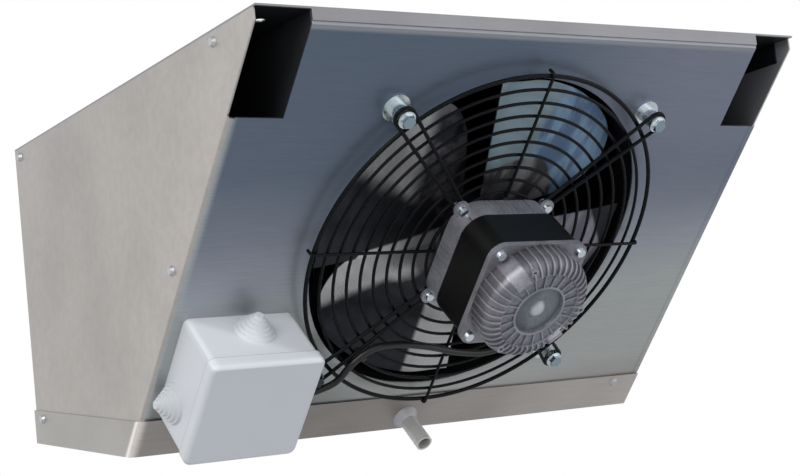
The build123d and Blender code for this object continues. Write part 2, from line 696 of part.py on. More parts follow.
# Guard bolts with their washers, standoff spacers and nuts
ARM_TOP = ARM_LEVEL + ARM_WIRE / 2
ARM_UNDER = ARM_LEVEL - ARM_WIRE / 2
BOLT_BORE_R = BOLT_R + 0.15
NUT_R = 5.5
NUT_HEIGHT = 5.0
with BuildPart() as guard_washers:
    with BuildSketch(panel_plane()):
        with GridLocations(BOLT_SPACING, BOLT_SPACING, 2, 2):
            Circle(WASHER_R)
            Circle(BOLT_BORE_R, mode=Mode.SUBTRACT)
    extrude(amount=WASHER_THICK)
write(guard_washers, "guard_washers")
with BuildPart() as guard_spacers:
    with BuildSketch(panel_plane(WASHER_THICK)):
        with GridLocations(BOLT_SPACING, BOLT_SPACING, 2, 2):
            Circle(SPACER_R)
            Circle(BOLT_BORE_R, mode=Mode.SUBTRACT)
    extrude(amount=ARM_UNDER - WASHER_THICK)
write(guard_spacers, "guard_spacers")
with BuildPart() as guard_bolts:
    with BuildSketch(panel_plane(ARM_TOP)):
        with GridLocations(BOLT_SPACING, BOLT_SPACING, 2, 2):
            Circle(BOLT_HEAD_R)
    extrude(amount=BOLT_HEAD_HEIGHT / 3)
    with BuildSketch(panel_plane(ARM_TOP + BOLT_HEAD_HEIGHT / 3)):
        with GridLocations(BOLT_SPACING, BOLT_SPACING, 2, 2):
            RegularPolygon(BOLT_HEAD_R - 1.2, 6)
    extrude(amount=BOLT_HEAD_HEIGHT * 2 / 3, taper=6)
    with BuildSketch(panel_plane(ARM_TOP)):
        with GridLocations(BOLT_SPACING, BOLT_SPACING, 2, 2):
            Circle(BOLT_R)
    extrude(amount=-ARM_TOP - SHEET - NUT_HEIGHT - 1)
write(guard_bolts, "guard_bolts")
with BuildPart() as guard_nuts:
    with BuildSketch(panel_plane(-SHEET)):
        with GridLocations(BOLT_SPACING, BOLT_SPACING, 2, 2):
            RegularPolygon(NUT_R, 6)
            Circle(BOLT_BORE_R, mode=Mode.SUBTRACT)
    extrude(amount=-NUT_HEIGHT)
write(guard_nuts, "guard_nuts")

# Motor rear shield: body with a bush seat, and four lugs for the arms
MOTOR_SIZE = 2 * MOTOR_HALF
SHIELD_CORNER_REAR = 24.0
REAR_CAVITY_R = 40.0
REAR_FLOOR = 8.0
REAR_BOSS_R = 15.0
REAR_BOSS_LEVEL = 5.0
LUG_TOP = ARM_TOP + LUG_THICK
POCKET_R = SCREW_HEAD_R + 0.5
POCKET_DEPTH = SCREW_HEAD_HEIGHT + 1.5
REAR_BUSH_LEVEL = 10.0
SCREW_END_LEVEL = 22.5
SIDE_RIB_PITCH = 5.0
SIDE_RIB_COUNT = 9
SIDE_RIB_THICK = 1.4
SIDE_RIB_PROUD = 0.9
SIDE_RIB_INSET = 1.2
gland_plane = Plane(
    origin=panel_point(MOTOR_HALF, GLAND_UP, CABLE_LEVEL), x_dir=OUTWARD, z_dir=(1, 0, 0)
)
with BuildPart() as motor_rear_shield:
    with BuildSketch(panel_plane(REAR_SHIELD_LEVEL)):
        RectangleRounded(MOTOR_SIZE, MOTOR_SIZE, SHIELD_CORNER_REAR)
    extrude(amount=STATOR_LEVEL - REAR_SHIELD_LEVEL)
    with BuildSketch(panel_plane(STATOR_LEVEL)):
        Circle(REAR_CAVITY_R)
    extrude(amount=-(STATOR_LEVEL - REAR_SHIELD_LEVEL - REAR_FLOOR), mode=Mode.SUBTRACT)
    with BuildSketch(panel_plane(ARM_TOP)):
        with GridLocations(ARM_SCREW_SPACING, ARM_SCREW_SPACING, 2, 2):
            Circle(LUG_R)
    extrude(amount=LUG_THICK)
    with BuildSketch(panel_plane(LUG_TOP)):
        with GridLocations(ARM_SCREW_SPACING, ARM_SCREW_SPACING, 2, 2):
            Circle(POCKET_R)
    extrude(amount=POCKET_DEPTH, mode=Mode.SUBTRACT)
    with BuildSketch(panel_plane(REAR_SHIELD_LEVEL)):
        Circle(REAR_BOSS_R)
    extrude(amount=REAR_BOSS_LEVEL - REAR_SHIELD_LEVEL)
    with BuildSketch(panel_plane(REAR_BUSH_LEVEL)):
        Circle(BUSH_R)
    extrude(amount=REAR_FLOOR + REAR_SHIELD_LEVEL, mode=Mode.SUBTRACT)
    with BuildSketch(panel_plane(0)):
        Circle(SHAFT_R + 0.6)
    extrude(amount=REAR_BUSH_LEVEL, mode=Mode.SUBTRACT)
    # Cooling ribs along the axis on the four flat sides, with a round seat for the lead's gland
    for i in range(SIDE_RIB_COUNT):
        along = (i - (SIDE_RIB_COUNT - 1) / 2) * SIDE_RIB_PITCH
        with BuildSketch(panel_plane(REAR_SHIELD_LEVEL + SIDE_RIB_INSET)):
            with PolarLocations(0, 4):
                with Locations((MOTOR_HALF, along)):
                    Rectangle(2 * SIDE_RIB_PROUD, SIDE_RIB_THICK)
        extrude(amount=STATOR_LEVEL - REAR_SHIELD_LEVEL - 2 * SIDE_RIB_INSET)
    with BuildSketch(gland_plane):
        Circle(GLAND_SEAT_R)
    extrude(amount=2 * SIDE_RIB_PROUD, mode=Mode.SUBTRACT)
    with BuildSketch(panel_plane(0)):
        with GridLocations(ARM_SCREW_SPACING, ARM_SCREW_SPACING, 2, 2):
            Circle(ARM_SCREW_R + 0.1)
    extrude(amount=LUG_TOP, mode=Mode.SUBTRACT)
    with BuildSketch(panel_plane(STATOR_LEVEL)):
        with GridLocations(MOTOR_SCREW_SPACING, MOTOR_SCREW_SPACING, 2, 2):
            Circle(MOTOR_SCREW_R + 0.05)
    extrude(amount=SCREW_END_LEVEL - STATOR_LEVEL, mode=Mode.SUBTRACT)
write(motor_rear_shield, "motor_rear_shield")

# Screws and clamp nuts that hold the arms to the lugs
NUT_CLAMP_R = 4.2
CLAMP_LEVEL = GUARD_LEVEL - GUARD_WIRE / 2
with BuildPart() as arm_screws:
    with BuildSketch(panel_plane(LUG_TOP)):
        with GridLocations(ARM_SCREW_SPACING, ARM_SCREW_SPACING, 2, 2):
            Circle(SCREW_HEAD_R - 0.2)
    extrude(amount=SCREW_HEAD_HEIGHT, taper=15)
    with BuildSketch(panel_plane(LUG_TOP)):
        with GridLocations(ARM_SCREW_SPACING, ARM_SCREW_SPACING, 2, 2):
            Circle(ARM_SCREW_R)
    extrude(amount=CLAMP_LEVEL - LUG_TOP)
write(arm_screws, "arm_screws")
with BuildPart() as arm_nuts:
    with BuildSketch(panel_plane(ARM_UNDER)):
        with GridLocations(ARM_SCREW_SPACING, ARM_SCREW_SPACING, 2, 2):
            RegularPolygon(NUT_CLAMP_R, 6)
            Circle(ARM_SCREW_R + 0.1, mode=Mode.SUBTRACT)
    extrude(amount=CLAMP_LEVEL - ARM_UNDER)
write(arm_nuts, "arm_nuts")

# Stator: square stack of laminations with winding slots, and the windings that fill them
STATOR_TOP = STATOR_LEVEL + STATOR_LENGTH
SLOT_WIDTH = 16.0
with BuildPart() as motor_stator:
    with BuildSketch(panel_plane(STATOR_LEVEL)):
        RectangleRounded(MOTOR_SIZE, MOTOR_SIZE, MOTOR_CORNER)
        Circle(ROTOR_R + AIR_GAP, mode=Mode.SUBTRACT)
        with PolarLocations((WINDING_IN_R + WINDING_OUT_R) / 2, 4):
            Rectangle(WINDING_OUT_R - WINDING_IN_R, SLOT_WIDTH, mode=Mode.SUBTRACT)
        with GridLocations(MOTOR_SCREW_SPACING, MOTOR_SCREW_SPACING, 2, 2):
            Circle(MOTOR_SCREW_R + 0.05, mode=Mode.SUBTRACT)
    extrude(amount=STATOR_LENGTH)
write(motor_stator, "motor_stator")
with BuildPart() as motor_windings:
    with BuildSketch(panel_plane(STATOR_LEVEL - WINDING_OVERHANG)):
        with PolarLocations((WINDING_IN_R + WINDING_OUT_R) / 2, 4):
            Rectangle(
                WINDING_OUT_R - WINDING_IN_R - 2 * WINDING_CLEARANCE,
                SLOT_WIDTH - 2 * WINDING_CLEARANCE,
            )
    extrude(amount=STATOR_LENGTH + 2 * WINDING_OVERHANG)
    for level in (STATOR_LEVEL - WINDING_OVERHANG, STATOR_TOP + WINDING_CLEARANCE):
        with BuildSketch(panel_plane(level)):
            Circle(WINDING_OUT_R)
            Circle(WINDING_IN_R, mode=Mode.SUBTRACT)
        extrude(amount=WINDING_OVERHANG - WINDING_CLEARANCE)
write(motor_windings, "motor_windings")

# Front shield: square flange, ribbed round dome, sunk face with radial ribs, recess and nose
FRONT_FACE = STATOR_TOP + FRONT_DOME_HEIGHT
FLANGE_TOP = STATOR_TOP + FRONT_FLANGE
FRONT_CORNER = 14.0
SHOULDER_R = FRONT_DOME_R - FRONT_SHOULDER
FRONT_CAVITY_R = 40.0
FRONT_CAVITY_TOP = FRONT_FACE - 11.0
FRONT_BUSH_LEVEL = FRONT_CAVITY_TOP - 4.0
FACE_SUNK = 1.4
FACE_OUT_R = SHOULDER_R - 1.5
RECESS_RIM_R = RECESS_R + 2.5
FACE_RIB_THICK = 1.2
NOSE_R = 8.0
NOSE_RISE = 3.0
NOSE_BALL_R = (NOSE_R**2 + NOSE_RISE**2) / (2 * NOSE_RISE)
PAD_THICK = 13.0
PAD_ANGLES = (135, 315)
EAR_R = 3.4
EAR_HOLE_R = 1.4
EAR_DEPTH = 9.0
EAR_CIRCLE_R = 43.5
EAR_ANGLES = (118, 238, 358)
FACE_RIB_ANGLES = [(i + 0.5) * 360 / RIB_COUNT for i in range(RIB_COUNT)]
SHOULDER_RIBS = [(angle, RIB_THICK) for angle in FACE_RIB_ANGLES]
SHOULDER_RIBS += [(angle, PAD_THICK) for angle in PAD_ANGLES]
with BuildPart() as motor_front_shield:
    with BuildSketch(panel_plane(STATOR_TOP)):
        RectangleRounded(MOTOR_SIZE, MOTOR_SIZE, FRONT_CORNER)
    extrude(amount=FRONT_FLANGE)
    with BuildSketch(radial_plane(0)):
        with BuildLine():
            base = Line((0, FLANGE_TOP), (FRONT_DOME_R, FLANGE_TOP))
            wall = Line(base @ 1, (FRONT_DOME_R, FRONT_FACE - FRONT_SHOULDER))
            shoulder = RadiusArc(wall @ 1, (SHOULDER_R, FRONT_FACE), -FRONT_SHOULDER)
            face = Polyline(
                shoulder @ 1,
                (FACE_OUT_R + 0.6, FRONT_FACE),
                (FACE_OUT_R, FRONT_FACE - FACE_SUNK),
                (RECESS_RIM_R + 0.4, FRONT_FACE - FACE_SUNK),
                (RECESS_RIM_R, FRONT_FACE),
                (RECESS_R + 0.8, FRONT_FACE),
                (RECESS_R, FRONT_FACE - RECESS_DEPTH),
                (NOSE_R, FRONT_FACE - RECESS_DEPTH),
            )
            nose = RadiusArc(face @ 1, (0, FRONT_FACE - RECESS_DEPTH + NOSE_RISE), -NOSE_BALL_R)
            Line(nose @ 1, base @ 0)
        make_face()
    revolve(axis=FAN_AXIS)
    # Ribs and two wide pads up the wall of the dome and over its shoulder
    for angle, thick in SHOULDER_RIBS:
        with BuildSketch(radial_plane(angle)):
            with BuildLine():
                foot = Line((SHOULDER_R - 2, FRONT_FACE - 2), (FRONT_DOME_R - 4, FLANGE_TOP))
                base = Line(foot @ 1, (FRONT_DOME_R + RIB_PROUD, FLANGE_TOP))
                outer = Line(base @ 1, (FRONT_DOME_R + RIB_PROUD, FRONT_FACE - FRONT_SHOULDER))
                over = RadiusArc(
                    outer @ 1, (SHOULDER_R, FRONT_FACE + RIB_PROUD), -FRONT_SHOULDER - RIB_PROUD
                )
                Line(over @ 1, foot @ 0)
            make_face()
        extrude(amount=thick / 2, both=True)
    # Every second rib runs on over the sunk face to the rim of the recess
    for angle in FACE_RIB_ANGLES[::2]:
        with BuildSketch(spoke_plane(angle, FRONT_FACE - FACE_SUNK - 1)):
            with Locations(((FACE_OUT_R + RECESS_RIM_R) / 2, 0)):
                Rectangle(FACE_OUT_R - RECESS_RIM_R + 1, FACE_RIB_THICK)
        extrude(amount=FACE_SUNK + 1)
    # Ears with screw holes at the dome's front edge
    for angle in EAR_ANGLES:
        with BuildSketch(spoke_plane(angle, FRONT_FACE - EAR_DEPTH)):
            with Locations((EAR_CIRCLE_R, 0)):
                Circle(EAR_R)
        extrude(amount=EAR_DEPTH)
        with BuildSketch(spoke_plane(angle, FRONT_FACE)):
            with Locations((EAR_CIRCLE_R, 0)):
                Circle(EAR_HOLE_R)
        extrude(amount=-EAR_DEPTH / 2, mode=Mode.SUBTRACT)
    with BuildSketch(panel_plane(STATOR_TOP)):
        Circle(FRONT_CAVITY_R)
    extrude(amount=FRONT_CAVITY_TOP - STATOR_TOP, mode=Mode.SUBTRACT)
    with BuildSketch(panel_plane(FRONT_BUSH_LEVEL)):
        Circle(BUSH_R + 4)
    extrude(amount=FRONT_CAVITY_TOP - FRONT_BUSH_LEVEL)
    with BuildSketch(panel_plane(FRONT_BUSH_LEVEL)):
        Circle(BUSH_R)
    extrude(amount=BUSH_LENGTH, mode=Mode.SUBTRACT)
    with BuildSketch(panel_plane(STATOR_TOP)):
        with GridLocations(MOTOR_SCREW_SPACING, MOTOR_SCREW_SPACING, 2, 2):
            Circle(MOTOR_SCREW_R + 0.05)
    extrude(amount=FRONT_FLANGE, mode=Mode.SUBTRACT)
write(motor_front_shield, "motor_front_shield")

with BuildPart() as motor_screws:
    with BuildSketch(panel_plane(FLANGE_TOP)):
        with GridLocations(MOTOR_SCREW_SPACING, MOTOR_SCREW_SPACING, 2, 2):
            Circle(SCREW_HEAD_R)
    extrude(amount=SCREW_HEAD_HEIGHT + 0.8, taper=12)
    with BuildSketch(panel_plane(FLANGE_TOP)):
        with GridLocations(MOTOR_SCREW_SPACING, MOTOR_SCREW_SPACING, 2, 2):
            Circle(MOTOR_SCREW_R)
    extrude(amount=SCREW_END_LEVEL + 0.5 - FLANGE_TOP)
write(motor_screws, "motor_screws")

# Bushes, shaft and rotor
with BuildPart() as shaft_bushes:
    for level in (REAR_BUSH_LEVEL, FRONT_BUSH_LEVEL):
        with BuildSketch(panel_plane(level)):
            Circle(BUSH_R)
            Circle(SHAFT_R + SHAFT_CLEARANCE, mode=Mode.SUBTRACT)
        extrude(amount=BUSH_LENGTH)
write(shaft_bushes, "shaft_bushes")
SHAFT_END = BLADE_BACK_LEVEL - 6.0
with BuildPart() as rotor_shaft:
    with BuildSketch(panel_plane(SHAFT_END)):
        Circle(SHAFT_R)
    extrude(amount=FRONT_BUSH_LEVEL + BUSH_LENGTH - 0.6 - SHAFT_END)
write(rotor_shaft, "rotor_shaft")
with BuildPart() as rotor_core:
    with BuildSketch(panel_plane(STATOR_LEVEL + 2)):
        Circle(ROTOR_R)
        Circle(SHAFT_R, mode=Mode.SUBTRACT)
    extrude(amount=STATOR_LENGTH - 4)
write(rotor_core, "rotor_core")

# Impeller: drum hub with four wide cambered sheet blades that meet it
HUB_FRONT = BLADE_FRONT_LEVEL + 3.0
with BuildPart() as impeller_hub:
    with BuildSketch(panel_plane(HUB_FRONT)):
        Circle(BLADE_ROOT_R)
    extrude(amount=BLADE_BACK_LEVEL - HUB_FRONT)
    with BuildSketch(panel_plane(BLADE_BACK_LEVEL)):
        Circle(BLADE_ROOT_R - 3)
        Circle(SHAFT_R + 7, mode=Mode.SUBTRACT)
    extrude(amount=HUB_DEPTH, mode=Mode.SUBTRACT)
    with BuildSketch(panel_plane(HUB_FRONT)):
        Circle(HUB_BORE_R)
    extrude(amount=BLADE_BACK_LEVEL - HUB_FRONT, mode=Mode.SUBTRACT)
write(impeller_hub, "impeller_hub")
BLADE_STATIONS = (0.0, 0.18, 0.36, 0.54, 0.66, 0.76, 0.85, 0.92, 0.97, 1.0)
BLADE_CAMBER = 1.4


def blade_tip(part_way):
    """Radius of a blade's tip, which turns in along a round corner at the trailing edge."""
    from_edge = (1 - part_way) * radians(BLADE_SPAN_ANGLE) * BLADE_TIP_R
    missing = max(BLADE_CORNER_R - from_edge, 0)
    return BLADE_TIP_R - BLADE_CORNER_R + sqrt(BLADE_CORNER_R**2 - missing**2)


with BuildPart() as impeller_blades:
    for blade in range(BLADE_COUNT):
        start = BLADE_LEAD_ANGLE - blade * 360 / BLADE_COUNT
        for part_way in BLADE_STATIONS:
            drop = (BLADE_FRONT_LEVEL - BLADE_BACK_LEVEL) * part_way**BLADE_CAMBER
            plane = radial_plane(start - BLADE_SPAN_ANGLE * part_way, BLADE_FRONT_LEVEL - drop)
            tip = blade_tip(part_way)
            with BuildSketch(plane):
                with Locations(((BLADE_ROOT_R + tip) / 2, 0)):
                    Rectangle(tip - BLADE_ROOT_R, BLADE_THICK)
        loft()
    with BuildSketch(panel_plane(BLADE_BACK_LEVEL - 5)):
        Circle(BLADE_ROOT_R + 0.1)
    extrude(amount=60, mode=Mode.SUBTRACT)
write(impeller_blades, "impeller_blades")
with BuildPart() as fan_nut:
    with BuildSketch(panel_plane(BLADE_BACK_LEVEL)):
        RegularPolygon(8, 6)
        Circle(SHAFT_R, mode=Mode.SUBTRACT)
    extrude(amount=-6)
write(fan_nut, "fan_nut")

# Junction box: open base with cable holes, press-on lid, stepped rubber grommets
BASE_HEIGHT = BOX_HEIGHT - LID_HEIGHT
GROMMET_HOLE_R = 9.0
INNER_BOX = BASE_SIZE - 2 * BOX_WALL
BASE_CORNER = BOX_CORNER - LID_OVERHANG
CABLE_ENTRY_UP = BOX_UP_SLOPE - 24.0
# Direction out of the box and the place of each grommet on its side
GROMMETS = (
    ((0, 1), BOX_X + 4.0, BOX_UP_SLOPE + BASE_SIZE / 2),
    ((-1, 0), BOX_X - BASE_SIZE / 2, BOX_UP_SLOPE - 20.0),
    ((1, 0), BOX_X + BASE_SIZE / 2, CABLE_ENTRY_UP),
    ((0, -1), BOX_X + 4.0, BOX_UP_SLOPE - BASE_SIZE / 2),
)


def grommet_plane(direction, x, up, out=0.0):
    """Plane on a side wall of the box, facing away from it."""
    right, rise = direction
    away = Vector(right, 0, 0) - DOWN_SLOPE * rise
    return Plane(origin=panel_point(x, up, GROMMET_LEVEL) + away * out, x_dir=OUTWARD, z_dir=away)


with BuildPart() as junction_box_base:
    with BuildSketch(panel_plane(0, BOX_X, BOX_UP_SLOPE)):
        RectangleRounded(BASE_SIZE, BASE_SIZE, BASE_CORNER)
    extrude(amount=BASE_HEIGHT)
    with BuildSketch(panel_plane(BOX_WALL, BOX_X, BOX_UP_SLOPE)):
        RectangleRounded(INNER_BOX, INNER_BOX, BASE_CORNER - BOX_WALL)
    extrude(amount=BASE_HEIGHT, mode=Mode.SUBTRACT)
    for direction, x, up in GROMMETS:
        with BuildSketch(grommet_plane(direction, x, up, 1)):
            Circle(GROMMET_HOLE_R)
        extrude(amount=-BOX_WALL - 2, mode=Mode.SUBTRACT)
    with BuildSketch(panel_plane(0, BOX_X, BOX_UP_SLOPE)):
        with Locations((-BOX_SCREW_PLACE, BOX_SCREW_PLACE), (BOX_SCREW_PLACE, -BOX_SCREW_PLACE)):
            Circle(SCREW_HOLE_R)
    extrude(amount=BOX_WALL, mode=Mode.SUBTRACT)
write(junction_box_base, "junction_box_base")

LID_SEAT = BASE_HEIGHT + LID_CLEARANCE
SKIRT_DEPTH = 4.0
SKIRT_SIZE = INNER_BOX - 2 * LID_CLEARANCE
SKIRT_CORNER = BASE_CORNER - BOX_WALL - LID_CLEARANCE
LID_EDGE = 4.0
with BuildPart() as junction_box_lid:
    with BuildSketch(panel_plane(LID_SEAT, BOX_X, BOX_UP_SLOPE)):
        RectangleRounded(BOX_SIZE, BOX_SIZE, BOX_CORNER)
    extrude(amount=BOX_HEIGHT - LID_SEAT)
    front_face = junction_box_lid.faces().sort_by(Axis(FAN_CENTRE, OUTWARD))[-1]
    fillet(front_face.edges(), LID_EDGE)
    with BuildSketch(panel_plane(LID_SEAT, BOX_X, BOX_UP_SLOPE)):
        RectangleRounded(SKIRT_SIZE, SKIRT_SIZE, SKIRT_CORNER)
    extrude(amount=-SKIRT_DEPTH)
    with BuildSketch(panel_plane(LID_SEAT - SKIRT_DEPTH, BOX_X, BOX_UP_SLOPE)):
        RectangleRounded(SKIRT_SIZE - 2 * BOX_WALL, SKIRT_SIZE - 2 * BOX_WALL, SKIRT_CORNER - 1)
    extrude(amount=BOX_HEIGHT - LID_SEAT + SKIRT_DEPTH - BOX_WALL, mode=Mode.SUBTRACT)
write(junction_box_lid, "junction_box_lid")

with BuildPart() as box_screws:
    for side in (-1, 1):
        place = (BOX_X + side * BOX_SCREW_PLACE, BOX_UP_SLOPE - side * BOX_SCREW_PLACE)
        with BuildSketch(panel_plane(BOX_WALL, *place)):
            Circle(SCREW_HEAD_R)
        extrude(amount=SCREW_HEAD_HEIGHT, taper=28)
        with BuildSketch(panel_plane(BOX_WALL, *place)):
            Circle(SCREW_R)
        extrude(amount=-BOX_WALL - SCREW_LENGTH + 1)
write(box_screws, "box_screws")

# Each grommet: an inner button through the wall, then steps that narrow outward to a tip
STEP_HEIGHT = GROMMET_HEIGHT / GROMMET_STEPS
STEP_R = (GROMMET_R - GROMMET_TIP_R) / (GROMMET_STEPS - 0.5)
with BuildPart() as cable_grommets:
    for direction, x, up in GROMMETS:
        with BuildSketch(grommet_plane(direction, x, up)):
            Circle(GROMMET_HOLE_R)
        extrude(amount=-BOX_WALL - 1.0)
        for step in range(GROMMET_STEPS):
            with BuildSketch(grommet_plane(direction, x, up, step * STEP_HEIGHT)):
                Circle(GROMMET_R - step * STEP_R)
            extrude(amount=STEP_HEIGHT, taper=24)
    with BuildSketch(grommet_plane((1, 0), BOX_X + BASE_SIZE / 2, CABLE_ENTRY_UP, GROMMET_HEIGHT + 1)):
        Circle(CABLE_R + 0.05)
    extrude(amount=-GROMMET_HEIGHT - BOX_WALL - 4, mode=Mode.SUBTRACT)
write(cable_grommets, "cable_grommets")

# Terminal block on the box's floor
TERMINAL_LENGTH = TERMINAL_COUNT * TERMINAL_PITCH
TERMINAL_DEPTH = 16.0
TERMINAL_HEIGHT = 13.0
with BuildPart() as terminal_block:
    with BuildSketch(panel_plane(BOX_WALL, BOX_X, BOX_UP_SLOPE)):
        Rectangle(TERMINAL_LENGTH, TERMINAL_DEPTH)
    extrude(amount=TERMINAL_HEIGHT)
    with BuildSketch(panel_plane(BOX_WALL + TERMINAL_HEIGHT, BOX_X, BOX_UP_SLOPE)):
        with GridLocations(TERMINAL_PITCH, 0, TERMINAL_COUNT - 1, 1):
            Rectangle(1.5, TERMINAL_DEPTH)
    extrude(amount=-TERMINAL_HEIGHT / 3, mode=Mode.SUBTRACT)
write(terminal_block, "terminal_block")
with BuildPart() as terminal_screws:
    with BuildSketch(panel_plane(BOX_WALL + TERMINAL_HEIGHT, BOX_X, BOX_UP_SLOPE)):
        with GridLocations(TERMINAL_PITCH, TERMINAL_DEPTH / 2, TERMINAL_COUNT, 2):
            Circle(2.4)
    extrude(amount=1.6)
write(terminal_screws, "terminal_screws")

# Motor lead, its gland on the motor and the tie that holds it to the lower left arm
CABLE_ROUTE = [
    (50, -20, 24),
    (68, -20, 24),
    (82, -32, 24),
    (87, -54, 23.5),
    (82, -80, 22.5),
    (66, -101, 21),
    (40, -110.5, 20.5),
    (8, -107, 20),
    (-20, -99, 19.4),
    (-56, -92.5, 19.7),
    (-82, -93.5, 20.2),
    (-99, -110, 21),
    (-107, -128, 22),
    (-130, -140, 20),
    (-170, -140, 20),
    (-184, -128.5, 12),
]


def bend_radii(points):
    """Radius of each bend: 0.45 of the shorter run beside it over the tangent of half the turn."""
    radii = []
    for before, corner, after in zip(points, points[1:], points[2:]):
        first = corner - before
        second = after - corner
        half_turn = radians(first.get_angle(second)) / 2
        radii.append(0.45 * min(first.length, second.length) / tan(half_turn))
    return radii


cable_points = [panel_point(*place) for place in CABLE_ROUTE]
cable_radii = bend_radii(cable_points)
print("cable bend radii:", [round(r, 1) for r in cable_radii])
with BuildPart() as motor_cable:
    with BuildLine() as cable_route:
        FilletPolyline(*cable_points, radius=cable_radii)
    with BuildSketch(Plane(origin=cable_route.line @ 0, z_dir=cable_route.line % 0)):
        Circle(CABLE_R)
    sweep(path=cable_route.line)
write(motor_cable, "motor_cable")
with BuildPart() as cable_gland:
    with BuildSketch(gland_plane):
        Circle(GLAND_R)
        Circle(CABLE_R + 0.2, mode=Mode.SUBTRACT)
    extrude(amount=GLAND_LENGTH)
write(cable_gland, "cable_gland")
TIE_THICK = 1.0
TIE_WIDTH = 4.0
tie_x, tie_up = -91.0, -101.8
tie_low = ARM_UNDER - 0.1
tie_high = 20.7 + CABLE_R + 0.4
tie_along = Vector(-1, 0, 0) + DOWN_SLOPE
with BuildPart() as cable_tie:
    tie_plane = Plane(
        origin=panel_point(tie_x, tie_up, (tie_low + tie_high) / 2),
        x_dir=OUTWARD.cross(tie_along),
        z_dir=tie_along,
    )
    with BuildSketch(tie_plane):
        RectangleRounded(2 * CABLE_R + 1.4 + 2 * TIE_THICK, tie_high - tie_low + 2 * TIE_THICK, 3)
        RectangleRounded(2 * CABLE_R + 1.4, tie_high - tie_low, 2, mode=Mode.SUBTRACT)
    extrude(amount=TIE_WIDTH / 2, both=True)
write(cable_tie, "cable_tie")
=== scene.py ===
# Looks of the ceiling-hung evaporator unit: finishes for its parts, and the few pieces that are
# finer than the solids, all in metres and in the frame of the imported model.
import json

import bpy
import numpy as np
from mathutils import Matrix, Vector


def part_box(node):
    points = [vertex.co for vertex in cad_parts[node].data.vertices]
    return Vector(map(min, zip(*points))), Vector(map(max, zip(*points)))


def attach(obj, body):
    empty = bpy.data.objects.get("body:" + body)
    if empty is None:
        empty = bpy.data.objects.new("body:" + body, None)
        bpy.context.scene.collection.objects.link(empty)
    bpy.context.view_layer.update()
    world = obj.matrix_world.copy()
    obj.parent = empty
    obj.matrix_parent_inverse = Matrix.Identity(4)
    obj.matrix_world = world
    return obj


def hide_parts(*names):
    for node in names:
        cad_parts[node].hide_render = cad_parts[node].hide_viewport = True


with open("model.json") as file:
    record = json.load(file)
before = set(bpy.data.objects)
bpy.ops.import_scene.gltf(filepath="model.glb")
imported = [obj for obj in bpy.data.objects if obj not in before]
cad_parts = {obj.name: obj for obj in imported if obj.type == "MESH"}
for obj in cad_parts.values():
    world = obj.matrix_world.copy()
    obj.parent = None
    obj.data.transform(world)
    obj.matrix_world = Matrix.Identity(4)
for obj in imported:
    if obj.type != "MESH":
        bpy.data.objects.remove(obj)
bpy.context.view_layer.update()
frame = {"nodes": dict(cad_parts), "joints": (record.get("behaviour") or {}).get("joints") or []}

# Camera: below and to the left of the fan front, level with the drip tray, with the long lens
# and the slight roll of the photograph.
CAMERA_PLACE = Vector((-0.7866, -1.1777, -0.3031))
CAMERA_AHEAD = Vector((0.54948, 0.82677, 0.12051))
CAMERA_UP = Vector((0.02690, -0.16166, 0.98648))
CAMERA_LENS = 71.31
SENSOR_WIDTH = 36.0
camera_data = bpy.data.cameras.new("photo_camera")
camera_data.lens = CAMERA_LENS
camera_data.sensor_width = SENSOR_WIDTH
camera_data.clip_start = 0.05
camera_data.clip_end = 60.0
camera = bpy.data.objects.new("photo_camera", camera_data)
bpy.context.collection.objects.link(camera)
camera_back = -CAMERA_AHEAD.normalized()
camera_right = CAMERA_UP.cross(camera_back).normalized()
camera_rise = camera_back.cross(camera_right)
camera.matrix_world = Matrix.Translation(CAMERA_PLACE) @ Matrix(
    (camera_right, camera_rise, camera_back)
).transposed().to_4x4()
bpy.context.scene.camera = camera

# Casing, ceiling panel, drip tray and inner sheets: one brushed grey sheet metal, folded and
# screwed. The sloped fan front is brushed across, and painted with a reflection and shade that
# darken it from light grey to blue grey upwards.


def fill_ramp(ramp, stops):
    """Gives a colour ramp its stops, each a place from 0 to 1 and a colour."""
    for end, (at, colour) in zip((ramp.elements[0], ramp.elements[1]), (stops[0], stops[-1])):
        end.position = at
        end.color = (*colour, 1)
    for at, colour in stops[1:-1]:
        ramp.elements.new(at).color = (*colour, 1)


class Value:
    """One socket of a finish. An expression on it adds the Math nodes that work it out."""

    def __init__(self, finish, socket):
        self.finish = finish
        self.socket = socket

    def worked(self, operation, first, second=0.0):
        return self.finish.node("ShaderNodeMath", {"operation": operation}, {0: first, 1: second})

    def __add__(self, other):
        return self.worked("ADD", self, other)

    __radd__ = __add__

    def __sub__(self, other):
        return self.worked("SUBTRACT", self, other)

    def __rsub__(self, other):
        return self.worked("SUBTRACT", other, self)

    def __mul__(self, other):
        return self.worked("MULTIPLY", self, other)

    __rmul__ = __mul__

    def __truediv__(self, other):
        return self.worked("DIVIDE", self, other)

    def __pow__(self, other):
        return self.worked("POWER", self, other)

    def __abs__(self):
        return self.worked("ABSOLUTE", self)

    def or_more(self, other):
        return self.worked("MAXIMUM", self, other)


